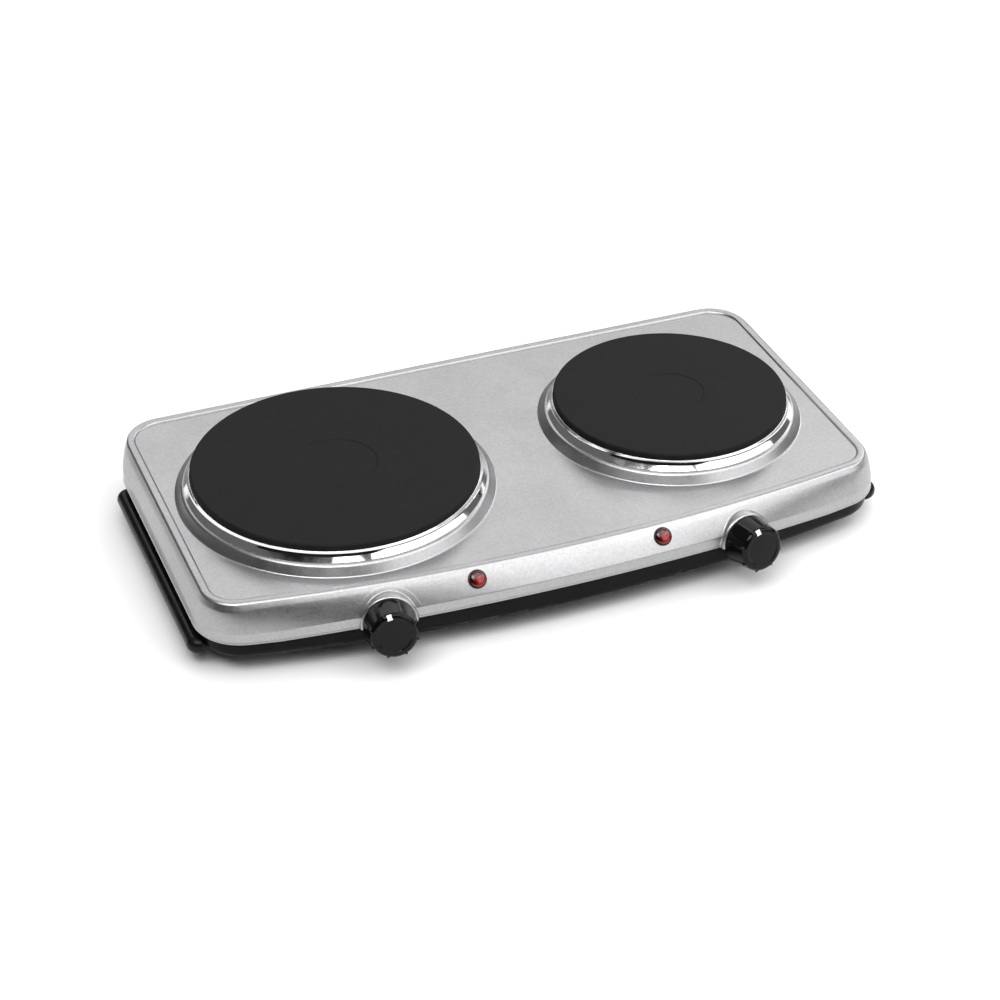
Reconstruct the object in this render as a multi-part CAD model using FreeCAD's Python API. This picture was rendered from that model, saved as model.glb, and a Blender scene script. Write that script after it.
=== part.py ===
"""Double electric hot plate: a steel deck with two cast plates, a black base, two thermostat knobs.

Working frame while modelling, in millimetres: X to the right, Y to the back, Z up. X = 0 is the middle
of the body, Y = 0 is the line through both plate centres, Z = 0 is the table. Every piece is moved by
one common step along Y when it is written, so that the origin ends up below the middle of the whole
object's box.
"""

import FreeCAD, Part
import math
import os

V = FreeCAD.Vector
UP = V(0, 0, 1)
ORIGIN = V(0, 0, 0)

# ---------------------------------------------------------------- driving dimensions
PLATE_TOP = 68.0            # height of the cooking surface
LARGE_R = 92.5              # 185 mm plate
SMALL_R = 77.5              # 155 mm plate
LARGE_X = -111.5
SMALL_X = 122.5
CLEAR = 0.05                # radial room of pieces that are pushed or screwed together

# deck: one sheet, with a sunk middle, side slopes, a short skirt, two collars and two bosses
SHEET = 0.8
DECK_FLAT = 51.0            # top of the sunk middle
RIM_TOP = 52.0              # top of the narrow strip around it
RIM_WIDTH = 5.0
SKIRT_BOTTOM = 26.0         # at the sides and the back
SKIRT_ARCH = 4.8            # the skirt's lower edge rises by this in the middle of the front
SKIRT_ARCH_HALF = 185.0     # half the width of that rise
SLOPE_ANGLE = 47.0          # of the front panel and the side slopes, from the horizontal
COLLAR_RISE = 6.4           # collar crest above the deck
COLLAR_FOOT = 10.0          # radii outside the plate's own
COLLAR_CREST = 5.2
COLLAR_THROAT = 1.7

# base: a black tub inside the skirt, on four feet
BASE_BOTTOM = 13.2
BASE_WALL = 2.0
BASE_FLOOR = 1.6
BASE_EDGE_R = 5.0           # rounding of the tub's lower edge
BASE_TOP = 38.0             # the tub's wall reaches up inside the skirt
BASE_INSET = 2.5            # of the tub's wall from the skirt
FEET = [(-190.0, -82.0), (190.0, -82.0), (-190.0, 96.0), (190.0, 96.0)]
PILLARS = [(-205.0, -70.0), (205.0, -70.0), (-205.0, 104.0), (205.0, 104.0), (8.0, 104.0)]
POST_TOP = 34.0
POST_R = 5.5
SCREW_R = 2.0               # M4 screws of the feet and the deck
HEAD_R = 4.0
SCREW_SINK = 3.0            # the base screws' heads lie this far up in the posts
FOOT_SEAT = 9.0             # the foot screws' heads lie below this height
VENT_COLUMNS = range(-4, 5)
VENT_PITCH = 12.0
VENT_LINES = (-36.0, 36.0)
VENT_SIZE = (4.0, 32.0)

# heat shield: a bright tray on ribs above the tub's floor
SHIELD_Z = 20.0
SHIELD_T = 0.6
SHIELD_LIP = 5.0
SHIELD_HALF = 185.0
SHIELD_FRONT = -78.0
SHIELD_BACK = 90.0
RIB_LINES = (-62.0, 0.0, 62.0)
RIB_HALF = 180.0

# side handles
HANDLE_BACK = 93.0
HANDLE_FRONT = -90.0
HANDLE_OUT = 236.0
HANDLE_BOTTOM = 9.4
HANDLE_TOP = 20.4
HANDLE_END_R = 11.0
HANDLE_EDGE_R = 5.3
HANDLE_ROOT = 200.0         # the bar starts here, before the tub is cut out of it
HANDLE_SCREWS = (-60.0, 50.0)
HANDLE_SCREW_R = 1.6
HANDLE_SCREW_Z = 18.0
HANDLE_SCREW_LENGTH = 6.0

# hot plates
PLATE_HEIGHT = 12.0         # of a casting
PLATE_BOTTOM = PLATE_TOP - PLATE_HEIGHT
RECESS_DEPTH = 0.4
RECESS_SHARE = 0.29         # of the plate's radius
RING_FOOT = 4.2             # overflow ring's foot outside the plate's radius
RING_TOP = 64.0
COIL_RINGS = 3
COIL_WIRE_R = 1.6
GROOVE_DEPTH = 6.0
GROOVE_SHARES = (0.42, 0.93)
COVER_T = 0.6
STUD_R = 3.0
STUD_LOW = 40.0
BRIDGE_T = 2.4
BRIDGE_WIDTH = 18.0
BRIDGE_TOP = DECK_FLAT - SHEET
TERMINAL_OFFSET = 36.0      # ceramic block beside the plate's centre
TERMINAL_TOP = PLATE_BOTTOM - COVER_T
PIN_R = 1.2
PIN_XS = (-10.0, 0.0, 10.0)

# controls: each in a frame of its own, +Z out along the knob axis and +Y up
CONTROL_X = 120.0           # where the axis leaves the boss
CONTROL_Y = -126.6
CONTROL_Z = 30.0
CONTROL_TURN = 9.0          # axis turned outward, degrees
CONTROL_TILT = 11.0         # axis tilted up, degrees
BOSS_R = 18.5
BOSS_TAB_R = 13.0           # welded disc that carries the thermostat
BOSS_REACH = 60.0           # a boss is this long before it is trimmed
BOSS_BACK = -100.0          # and it is trimmed here, inside the panel
KNOB_GAP = 0.5
KNOB_LENGTH = 17.0
KNOB_BACK_R = 16.8
KNOB_FRONT_R = 14.4
KNOB_WALL = 1.8
KNOB_RIBS = 8
RIB_R = 0.8
HUB_R = 5.0
HUB_BACK = 4.4
SHAFT_R = 3.0
SHAFT_FLAT = 2.0
SHAFT_BACK = -12.0
BUSHING_R = 5.0
BUSHING_FRONT = 3.4
NUT_H = 2.6
THERMOSTAT_BACK = -24.0
THERMOSTAT_FRONT = -7.0

# pilot lamps: each in a frame of its own, +Z out of the sloped panel
LAMP_X = 62.0
LAMP_HOLE_R = 4.6
LAMP_DROP = 5.5             # lamp centre in front of the rim's edge, measured in plan
BEZEL_R = 5.9
LENS_R = 4.4
DOME_R = 5.6
NEON_R = 2.6

# electrics
BUSH_X = 150.0              # cable bush in the back wall
BUSH_Z = 22.0
CORD_R = 3.6                # bore of the cable bush
BUSH_R = 5.6
BUSH_FLANGE_R = 7.0
BLOCK_X = 150.0             # mains block
BLOCK_Y = 99.0
BLOCK_Z = BASE_BOTTOM + BASE_FLOOR
BLOCK_HEIGHT = 14.0
FUSE_R = 2.0
LEAD_R = 1.4
LEAD_Z = 28.0

FAR = 300.0                 # past every face, for tools that cut right through


# ---------------------------------------------------------------- helpers
class Outline:
    """A rounded rectangle in plan whose front side is a long shallow arc."""

    def __init__(self, half_width, back, front, bow_r, back_r, front_r):
        self.half_width = half_width
        self.back = back
        self.front = front
        self.bow_r = bow_r
        self.back_r = back_r
        self.front_r = front_r

    def inset(self, d):
        """The same outline, d further in all round (negative d grows it)."""
        return Outline(
            self.half_width - d, self.back - d, self.front + d,
            self.bow_r - d, self.back_r - d, self.front_r - d,
        )

    def wire(self, z):
        """Closed wire at height z: two back corners, two front corners, the bowed front."""
        w, b, rb, rf = self.half_width, self.back, self.back_r, self.front_r
        bow_y = self.front + self.bow_r
        corner_x = w - rf
        corner_y = bow_y - math.sqrt((self.bow_r - rf) ** 2 - corner_x ** 2)
        lean = math.atan2(corner_x, bow_y - corner_y)
        end_x = self.bow_r * math.sin(lean)
        end_y = bow_y - self.bow_r * math.cos(lean)
        half = (math.pi / 2 + lean) / 2
        mid_x = corner_x + rf * math.sin(half)
        mid_y = corner_y - rf * math.cos(half)
        diag = rb * math.sqrt(0.5)
        edges = [
            Part.Arc(V(-end_x, end_y, z), V(0, self.front, z), V(end_x, end_y, z)),
            Part.Arc(V(end_x, end_y, z), V(mid_x, mid_y, z), V(w, corner_y, z)),
            Part.LineSegment(V(w, corner_y, z), V(w, b - rb, z)),
            Part.Arc(V(w, b - rb, z), V(w - rb + diag, b - rb + diag, z), V(w - rb, b, z)),
            Part.LineSegment(V(w - rb, b, z), V(-w + rb, b, z)),
            Part.Arc(V(-w + rb, b, z), V(-w + rb - diag, b - rb + diag, z), V(-w, b - rb, z)),
            Part.LineSegment(V(-w, b - rb, z), V(-w, corner_y, z)),
            Part.Arc(V(-w, corner_y, z), V(-mid_x, mid_y, z), V(-end_x, end_y, z)),
        ]
        return Part.Wire([e.toShape() for e in edges])

    def prism(self, low, high):
        """The outline's face pulled up from one height to the other."""
        return Part.Face(self.wire(low)).extrude(V(0, 0, high - low))


SKIRT = Outline(230.0, 121.5, -131.3, 1000.0, 38.0, 32.0)
RIM = Outline(224.0, 118.0, -119.5, 1250.0, 26.0, 22.0)
PAN_STEP = RIM.inset(RIM_WIDTH)
TUB = SKIRT.inset(BASE_INSET)


def cylinder(r, low, high, x=0.0, y=0.0):
    """Upright cylinder between two heights."""
    return Part.makeCylinder(r, high - low, V(x, y, low))


def tube(outer, inner, low, high, x=0.0, y=0.0):
    """Upright tube between two heights."""
    return cylinder(outer, low, high, x, y).cut(cylinder(inner, low - 1, high + 1, x, y))


def box(x0, x1, y0, y1, z0, z1):
    """Box between two limits on each axis."""
    return Part.makeBox(x1 - x0, y1 - y0, z1 - z0, V(x0, y0, z0))


def across_wall(r, near, far):
    """Cylinder along Y about the cable bush's axis."""
    return Part.makeCylinder(r, far - near, V(BUSH_X, near, BUSH_Z), V(0, 1, 0))


def revolved(points, x=0.0, y=0.0):
    """Solid of revolution about a vertical axis, from (radius, height) points."""
    wire = Part.makePolygon([V(r, 0, z) for r, z in points + points[:1]])
    solid = Part.Face(wire).revolve(ORIGIN, UP, 360)
    solid.translate(V(x, y, 0))
    return solid


def hexagon(across_flats, low, high, x=0.0, y=0.0):
    """Upright hexagonal prism, as of a nut."""
    r = across_flats / math.sqrt(3)
    corners = [V(x + r * math.cos(a), y + r * math.sin(a), low)
               for a in (math.radians(60 * k) for k in range(7))]
    return Part.Face(Part.makePolygon(corners)).extrude(V(0, 0, high - low))


def pan_screw(r, head_r, head_h, seat, length, x=0.0, y=0.0):
    """Screw driven upward: its head lies below the height seat, with a cross slot cut in it."""
    screw = cylinder(r, seat - 0.1, seat + length, x, y).fuse(cylinder(head_r, seat - head_h, seat, x, y))
    long, thin = head_r * 0.6, 0.5
    low, deep = seat - head_h - 1, seat - head_h * 0.4
    slot = box(x - long, x + long, y - thin, y + thin, low, deep)
    cross = box(x - thin, x + thin, y - long, y + long, low, deep)
    return screw.cut(slot).cut(cross)


def lead(points, r):
    """Insulated wire: straight runs with a ball at each bend."""
    runs = []
    for a, b in zip(points, points[1:]):
        runs.append(Part.makeCylinder(r, (b - a).Length, a, b - a))
    for p in points[1:-1]:
        runs.append(Part.makeSphere(r, p))
    return runs[0].multiFuse(runs[1:])


def cut_all(shape, tools):
    """The shape less every tool."""
    for tool in tools:
        shape = shape.cut(tool)
    return shape


def group(solids):
    """Separate solids that share one node."""
    return Part.makeCompound(solids)


def control_place(shape, side):
    """Move a piece from a control's own frame, +Z out along the knob axis and +Y up, to its place."""
    turn = math.radians(CONTROL_TURN) * side
    tilt = math.radians(CONTROL_TILT)
    out = V(math.sin(turn) * math.cos(tilt), -math.cos(turn) * math.cos(tilt), math.sin(tilt))
    across = UP.cross(out)
    across.normalize()
    rise = out.cross(across)
    matrix = FreeCAD.Matrix(
        across.x, rise.x, out.x, CONTROL_X * side,
        across.y, rise.y, out.y, CONTROL_Y,
        across.z, rise.z, out.z, CONTROL_Z,
        0, 0, 0, 1,
    )
    moved = shape.copy()
    moved.transformShape(matrix)
    return moved


def lamp_place(shape, x):
    """Move a lamp piece from its own frame, +Z out of the sloped panel, to its place."""
    moved = shape.copy()
    moved.rotate(ORIGIN, V(1, 0, 0), SLOPE_ANGLE)
    drop = LAMP_DROP * math.tan(math.radians(SLOPE_ANGLE))
    bow = RIM.bow_r - math.sqrt(RIM.bow_r ** 2 - LAMP_X ** 2)
    moved.translate(V(x, RIM.front - LAMP_DROP + bow, RIM_TOP - drop))
    return moved


# ---------------------------------------------------------------- deck
def deck_block(inset):
    """The deck's outer form as a solid, inset by a sheet thickness for its inside."""
    drop = RIM_TOP - SKIRT_BOTTOM + 1
    reach = drop / math.tan(math.radians(SLOPE_ANGLE))
    fall = inset * math.tan(math.radians(SLOPE_ANGLE / 2))
    top = RIM.inset(fall).wire(RIM_TOP - inset)
    foot = RIM.inset(fall - reach).wire(RIM_TOP - inset - drop)
    slope = Part.makeLoft([foot, top], True, True)
    return SKIRT.inset(inset).prism(SKIRT_BOTTOM - inset, RIM_TOP).common(slope)


def collar(r, x):
    """Raised collar around a plate: a cone up from the deck, a crest and a lip turned down inside."""
    foot, crest, throat = r + COLLAR_FOOT, r + COLLAR_CREST, r + COLLAR_THROAT
    top = DECK_FLAT + COLLAR_RISE
    outer = [(foot, DECK_FLAT), (crest, top - 0.6), (crest - 1.2, top), (throat + 0.6, top),
             (throat, top - 0.6), (throat, DECK_FLAT)]
    inner = [(throat + SHEET, DECK_FLAT), (throat + SHEET, top - SHEET), (crest - 1.2, top - SHEET),
             (foot - SHEET, DECK_FLAT - SHEET), (foot + SHEET, DECK_FLAT - SHEET)]
    return revolved(outer + inner, x)


def boss(side, inset):
    """Pressed round boss behind a knob: only what stands in front of the panel and over the lower edge."""
    whole = control_place(cylinder(BOSS_R - inset, -BOSS_REACH, -inset), side)
    return whole.common(box(-FAR, FAR, -FAR, BOSS_BACK, SKIRT_BOTTOM - inset, RIM_TOP))


def skirt_arch():
    """Tool that raises the skirt's lower edge in a long shallow arch across the front."""
    r = (SKIRT_ARCH_HALF ** 2 + SKIRT_ARCH ** 2) / (2 * SKIRT_ARCH)
    centre = V(0, -FAR, SKIRT_BOTTOM + SKIRT_ARCH - r)
    reach = box(-SKIRT_ARCH_HALF, SKIRT_ARCH_HALF, -FAR, BOSS_BACK, SKIRT_BOTTOM - 1, RIM_TOP)
    return Part.makeCylinder(r, FAR, centre, V(0, 1, 0)).common(reach)


def deck():
    """The steel deck: its outer form less its inside, then the bosses, collars and holes."""
    shell = deck_block(0).cut(PAN_STEP.prism(DECK_FLAT, FAR))
    hollow = deck_block(SHEET).cut(PAN_STEP.inset(-SHEET).prism(DECK_FLAT - SHEET, FAR))
    for side in (-1, 1):
        shell = shell.fuse(boss(side, 0))
        hollow = hollow.fuse(boss(side, SHEET))
    sheet = shell.cut(hollow).cut(skirt_arch())
    for side in (-1, 1):
        tab = cylinder(BOSS_TAB_R, -SHEET, 0)
        sheet = sheet.fuse(control_place(tab, side))
        sheet = sheet.cut(control_place(cylinder(BUSHING_R + CLEAR, -8, 8), side))
    for r, x in ((LARGE_R, LARGE_X), (SMALL_R, SMALL_X)):
        sheet = sheet.cut(cylinder(r + COLLAR_FOOT - 0.4, DECK_FLAT - 5, RIM_TOP + 5, x))
        sheet = sheet.fuse(collar(r, x))
    for x in (-LAMP_X, LAMP_X):
        sheet = sheet.cut(lamp_place(cylinder(LAMP_HOLE_R, -5, 5), x))
    sheet = sheet.cut(across_wall(BUSH_FLANGE_R + 0.3, TUB.back, FAR))
    return sheet.removeSplitter()


# ---------------------------------------------------------------- base
def vents():
    """Rows of cooling slots in the tub's floor, below both plates."""
    slots = []
    half_wide, half_long = VENT_SIZE[0] / 2, VENT_SIZE[1] / 2
    for plate_x in (LARGE_X, SMALL_X):
        for k in VENT_COLUMNS:
            for y in VENT_LINES:
                x = plate_x + VENT_PITCH * k
                slots.append(box(x - half_wide, x + half_wide, y - half_long, y + half_long, 0, SHIELD_Z - 1))
    return slots


def base_pan():
    """Black tub with posts for the deck's screws, ribs under the heat shield and cooling slots."""
    pan = TUB.prism(BASE_BOTTOM, BASE_TOP)
    pan = pan.makeFillet(BASE_EDGE_R, [e for e in pan.Edges if e.BoundBox.ZMax < BASE_BOTTOM + 0.01])
    inside = TUB.inset(BASE_WALL).prism(BASE_BOTTOM + BASE_FLOOR, BASE_TOP + 1)
    posts = [cylinder(POST_R, BASE_BOTTOM + 0.5, POST_TOP, x, y) for x, y in PILLARS]
    pan = pan.cut(inside).multiFuse(posts + shield_ribs())
    for x, y in PILLARS:
        pan = pan.cut(cylinder(SCREW_R + 0.2, 0, FAR, x, y))
        pan = pan.cut(cylinder(HEAD_R + 0.2, 0, BASE_BOTTOM + SCREW_SINK, x, y))
    for x, y in FEET:
        pan = pan.cut(cylinder(SCREW_R + CLEAR, 0, FAR, x, y))
    for side in (-1, 1):
        pan = pan.cut(control_place(cylinder(BOSS_TAB_R + 0.6, -16, 30), side))
        for y in HANDLE_SCREWS:
            pan = pan.cut(across_side(HANDLE_SCREW_R + 0.3, TUB.half_width - 8, 12, y, side))
    return cut_all(pan, vents() + [across_wall(BUSH_R + CLEAR, TUB.back - 9, FAR)])


def shield_ribs():
    """Ribs on the tub's floor that carry the heat shield."""
    return [box(-RIB_HALF, RIB_HALF, y - 1, y + 1, BASE_BOTTOM + 0.5, SHIELD_Z) for y in RIB_LINES]


def across_side(r, start, length, y, side):
    """Cylinder outward through a side wall at the handle screws' height."""
    return Part.makeCylinder(r, length, V(side * start, y, HANDLE_SCREW_Z), V(side, 0, 0))


def heat_shield():
    """Bright tray above the tub's floor, with its edges turned up."""
    tray = box(-SHIELD_HALF, SHIELD_HALF, SHIELD_FRONT, SHIELD_BACK, SHIELD_Z, SHIELD_Z + SHIELD_LIP)
    inner = SHIELD_HALF - SHIELD_T
    return tray.cut(box(-inner, inner, SHIELD_FRONT + SHIELD_T, SHIELD_BACK - SHIELD_T,
                        SHIELD_Z + SHIELD_T, FAR))


def foot(x, y):
    """Rubber foot with a well for its screw's head."""
    solid = revolved([(0, 0), (7.5, 0), (8.5, 1.2), (9.5, BASE_BOTTOM), (0, BASE_BOTTOM)], x, y)
    return solid.cut(cylinder(SCREW_R + CLEAR, 0, 20, x, y)).cut(cylinder(HEAD_R + 0.4, -1, FOOT_SEAT, x, y))


def feet():
    """The four feet."""
    return group([foot(x, y) for x, y in FEET])


def foot_screws():
    """Screws up through the feet into the tub's floor."""
    return group([pan_screw(SCREW_R, HEAD_R, 2.6, FOOT_SEAT, 10.5, x, y) for x, y in FEET])


def deck_pillars():
    """Threaded pillars welded below the deck, standing on the tub's posts."""
    return group([tube(2 * SCREW_R, SCREW_R + CLEAR, POST_TOP, DECK_FLAT - SHEET, x, y) for x, y in PILLARS])


def base_screws():
    """Long screws up through the posts into the deck's pillars."""
    seat = BASE_BOTTOM + SCREW_SINK
    return group([pan_screw(SCREW_R, HEAD_R - 0.1, 2.4, seat, 24.0, x, y) for x, y in PILLARS])


def handle(side):
    """Moulded side handle: a rounded bar that follows the tub's wall, its ends drawn in."""
    r = HANDLE_END_R
    back, front, out, root = HANDLE_BACK, HANDLE_FRONT, HANDLE_OUT, HANDLE_ROOT
    diag = r * math.sqrt(0.5)
    z = HANDLE_BOTTOM
    edges = [
        Part.LineSegment(V(root, front, z), V(out - r, front, z)),
        Part.Arc(V(out - r, front, z), V(out - r + diag, front + r - diag, z), V(out, front + r, z)),
        Part.LineSegment(V(out, front + r, z), V(out, back - r, z)),
        Part.Arc(V(out, back - r, z), V(out - r + diag, back - r + diag, z), V(out - r, back, z)),
        Part.LineSegment(V(out - r, back, z), V(root, back, z)),
        Part.LineSegment(V(root, back, z), V(root, front, z)),
    ]
    bar = Part.Face(Part.Wire([e.toShape() for e in edges])).extrude(V(0, 0, HANDLE_TOP - z))
    rounded = [e for e in bar.Edges
               if e.BoundBox.ZLength < 0.01 and e.BoundBox.XMin > root + 0.01]
    bar = bar.makeFillet(HANDLE_EDGE_R, rounded)
    bar = bar.cut(TUB.prism(0, RIM_TOP))
    for y in HANDLE_SCREWS:
        bar = bar.cut(across_side(HANDLE_SCREW_R + CLEAR, TUB.half_width - 2.5, 7, y, 1))
    if side < 0:
        bar = bar.mirror(ORIGIN, V(1, 0, 0))
    return bar


def handle_screws():
    """Screws from inside the tub into the handles."""
    screws = []
    seat = TUB.half_width - BASE_WALL
    for side in (-1, 1):
        for y in HANDLE_SCREWS:
            shank = across_side(HANDLE_SCREW_R, seat - 0.1, HANDLE_SCREW_LENGTH, y, side)
            head = across_side(HANDLE_SCREW_R + 1.0, seat - 2.0, 2.0, y, side)
            screws.append(shank.fuse(head))
    return group(screws)


# ---------------------------------------------------------------- hot plates
def groove(r):
    """Inner and outer radius of the coil groove below a plate."""
    inner, outer = GROOVE_SHARES
    return r * inner, r * outer


def plate(r, x):
    """Cast plate: rounded rim, shallow round recess in the middle, coil groove below."""
    recess = r * RECESS_SHARE
    sunk = PLATE_TOP - RECESS_DEPTH
    profile = [(0, sunk), (recess, sunk), (recess + 0.6, PLATE_TOP),
               (r - 1.5, PLATE_TOP), (r - 0.44, PLATE_TOP - 0.44), (r, PLATE_TOP - 1.5),
               (r, PLATE_BOTTOM), (0, PLATE_BOTTOM)]
    solid = revolved(profile, x)
    inner, outer = groove(r)
    solid = solid.cut(tube(outer, inner, PLATE_BOTTOM - 1, PLATE_BOTTOM + GROOVE_DEPTH, x))
    return solid.cut(cylinder(STUD_R + CLEAR, PLATE_BOTTOM - 1, PLATE_BOTTOM + 7, x))


def coil_tori(r, x, wire_r):
    """The heating coil's rings, or with a larger wire the room that they need."""
    inner, outer = groove(r)
    pitch = (outer - inner) / COIL_RINGS
    return [Part.makeTorus(inner + pitch * (k + 0.5), wire_r, V(x, 0, PLATE_BOTTOM + GROOVE_DEPTH / 2))
            for k in range(COIL_RINGS)]


def coil(r, x):
    """Heating coil: rings of wire in the plate's groove."""
    return group(coil_tori(r, x, COIL_WIRE_R))


def insulation(r, x):
    """Pressed mineral powder that fills the groove around the coil."""
    inner, outer = groove(r)
    fill = tube(outer - CLEAR, inner + CLEAR, PLATE_BOTTOM, PLATE_BOTTOM + GROOVE_DEPTH - CLEAR, x)
    return cut_all(fill, coil_tori(r, x, COIL_WIRE_R + CLEAR))


def cover_plate(r, x):
    """Thin sheet below a plate."""
    return tube(r - 2.0, STUD_R + 0.5, PLATE_BOTTOM - COVER_T, PLATE_BOTTOM, x)


def overflow_ring(r, x):
    """Bright ring pushed over the plate, flaring down to the collar's crest."""
    foot = DECK_FLAT + COLLAR_RISE
    profile = [(r + CLEAR, RING_TOP), (r + 0.9, RING_TOP), (r + 1.5, RING_TOP - 2.2),
               (r + 2.7, foot + 2.0), (r + RING_FOOT, foot), (r + RING_FOOT - 1.6, foot),
               (r + 1.8, foot + 2.0), (r + 0.7, RING_TOP - 2.4), (r + CLEAR, RING_TOP - 0.8)]
    return revolved(profile, x)


def plate_studs():
    """Threaded stud in the middle of each plate's underside."""
    return group([cylinder(STUD_R, STUD_LOW, PLATE_BOTTOM + 6.5, x) for x in (LARGE_X, SMALL_X)])


def plate_bridges():
    """Steel straps that pull the plates down against the collars."""
    bars = []
    for r, x in ((LARGE_R, LARGE_X), (SMALL_R, SMALL_X)):
        half = r + COLLAR_FOOT + 4.0
        wide = BRIDGE_WIDTH / 2
        strap = box(x - wide, x + wide, -half, half, BRIDGE_TOP - BRIDGE_T, BRIDGE_TOP)
        bars.append(strap.cut(cylinder(STUD_R + 0.3, 0, FAR, x)))
    return group(bars)


def plate_nuts():
    """Nuts below the straps."""
    seat = BRIDGE_TOP - BRIDGE_T
    nuts = [hexagon(10.0, seat - 5.0, seat, x).cut(cylinder(STUD_R + CLEAR, 0, FAR, x))
            for x in (LARGE_X, SMALL_X)]
    return group(nuts)


def ceramic_block(x):
    """Ceramic terminal block below a plate, with a passage for each pin."""
    cx = x + TERMINAL_OFFSET
    block = box(cx - 15, cx + 15, -8, 8, TERMINAL_TOP - 10, TERMINAL_TOP)
    block = block.makeFillet(1.5, [e for e in block.Edges if e.BoundBox.ZLength > 9])
    return cut_all(block, [cylinder(PIN_R + CLEAR, 0, FAR, cx + dx) for dx in PIN_XS])


def element_pins():
    """Terminal pins of both plates, one through each passage of the ceramic blocks."""
    pins = []
    for x in (LARGE_X, SMALL_X):
        cx = x + TERMINAL_OFFSET
        pins += [cylinder(PIN_R, TERMINAL_TOP - 16, TERMINAL_TOP, cx + dx) for dx in PIN_XS]
    return group(pins)


# ---------------------------------------------------------------- controls
def knob(side):
    """Bakelite knob: a shallow cone with raised ribs, hollow, with a hub for the flatted shaft."""
    back, front = KNOB_GAP, KNOB_GAP + KNOB_LENGTH
    body = Part.makeCone(KNOB_BACK_R, KNOB_FRONT_R, KNOB_LENGTH, V(0, 0, back))
    body = body.makeFillet(1.4, [e for e in body.Edges if e.BoundBox.ZMin > front - 0.01])
    ribs = []
    lean = math.degrees(math.atan2(KNOB_BACK_R - KNOB_FRONT_R, KNOB_LENGTH))
    for k in range(KNOB_RIBS):
        rib = cylinder(RIB_R, 0, KNOB_LENGTH - 2.5)
        rib.rotate(ORIGIN, V(0, 1, 0), -lean)
        rib.translate(V(KNOB_BACK_R - 0.15, 0, back + 1.0))
        rib.rotate(ORIGIN, UP, 360 / KNOB_RIBS * (k + 0.5))
        ribs.append(rib)
    body = body.multiFuse(ribs)
    cavity = Part.makeCone(KNOB_BACK_R - KNOB_WALL, KNOB_FRONT_R - KNOB_WALL - 0.4,
                           KNOB_LENGTH - 3.0, V(0, 0, back))
    body = body.cut(cavity)
    body = body.fuse(cylinder(HUB_R, HUB_BACK, front - 1.5))
    bore = cylinder(SHAFT_R + 0.02, 0, front - 3.0).cut(box(-9, 9, SHAFT_FLAT + 0.02, 9, 0, 30))
    return control_place(body.cut(bore), side)


def shaft(side):
    """Thermostat shaft with a flat for the knob."""
    rod = cylinder(SHAFT_R, SHAFT_BACK, KNOB_GAP + KNOB_LENGTH - 3.5)
    return control_place(rod.cut(box(-9, 9, SHAFT_FLAT, 9, HUB_BACK - 0.4, 30)), side)


def spring_clip(side):
    """Spring ring around the split hub, which keeps the knob on its shaft."""
    ring = tube(HUB_R + 0.7, HUB_R + CLEAR, HUB_BACK + 2, HUB_BACK + 6)
    return control_place(ring.cut(box(-1, 1, -9, 0, 0, 20)), side)


def thermostat(side):
    """Ceramic thermostat with a threaded bushing that comes through the boss."""
    body = box(-11.5, 11.5, -5.4, 16, THERMOSTAT_BACK, THERMOSTAT_FRONT)
    body = body.makeFillet(1.5, [e for e in body.Edges if e.BoundBox.ZLength > 15])
    body = body.fuse(cylinder(BUSHING_R + 2, THERMOSTAT_FRONT, -SHEET))
    body = body.fuse(cylinder(BUSHING_R, -2, BUSHING_FRONT))
    return control_place(body.cut(cylinder(SHAFT_R + 0.06, SHAFT_BACK - 0.4, FAR)), side)


def thermostat_terminals():
    """Flat push-on terminals at the back of both thermostats."""
    tabs = []
    for side in (-1, 1):
        for dx in (-7.5, 0.0, 7.5):
            tab = box(dx - 2.4, dx + 2.4, 8.0, 8.8, THERMOSTAT_BACK - 7, THERMOSTAT_BACK)
            tabs.append(control_place(tab, side))
    return group(tabs)


def bushing_nuts():
    """Thin nuts that clamp the thermostats to the bosses."""
    nuts = [control_place(hexagon(12.0, 0, NUT_H).cut(cylinder(BUSHING_R + CLEAR, -1, 5)), side)
            for side in (-1, 1)]
    return group(nuts)


# ---------------------------------------------------------------- pilot lamps
def lamp_bezels():
    """Dark round bezels with a sleeve through the panel."""
    rings = []
    for x in (-LAMP_X, LAMP_X):
        flange = tube(BEZEL_R, LENS_R - 0.1, 0.3, 1.3)
        sleeve = tube(LAMP_HOLE_R - CLEAR, LENS_R - 0.6, -9, 0.4)
        rings.append(lamp_place(flange.fuse(sleeve), x))
    return group(rings)


def lamp_lens(x):
    """Red domed lens that fills its bezel."""
    stem = cylinder(LENS_R - 0.7, -4, 0.5)
    cap_r = LENS_R - 0.1 - CLEAR
    cap = cylinder(cap_r, 0.45, 1.4)
    ball = Part.makeSphere(DOME_R, V(0, 0, 1.3 - math.sqrt(DOME_R ** 2 - cap_r ** 2)))
    dome = ball.common(cylinder(cap_r, 1.3, 10))
    return lamp_place(stem.fuse(cap).fuse(dome), x)


def lamp_clips():
    """Push-on spring discs behind the panel."""
    discs = [lamp_place(tube(6.8, LAMP_HOLE_R, -3.4, -2.6), x) for x in (-LAMP_X, LAMP_X)]
    return group(discs)


def neon_lamps():
    """Small glow lamps behind the lenses."""
    bulbs = []
    for x in (-LAMP_X, LAMP_X):
        bulb = cylinder(NEON_R, -14, -5).fuse(Part.makeSphere(NEON_R, V(0, 0, -14)))
        bulbs.append(lamp_place(bulb, x))
    return group(bulbs)


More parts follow.
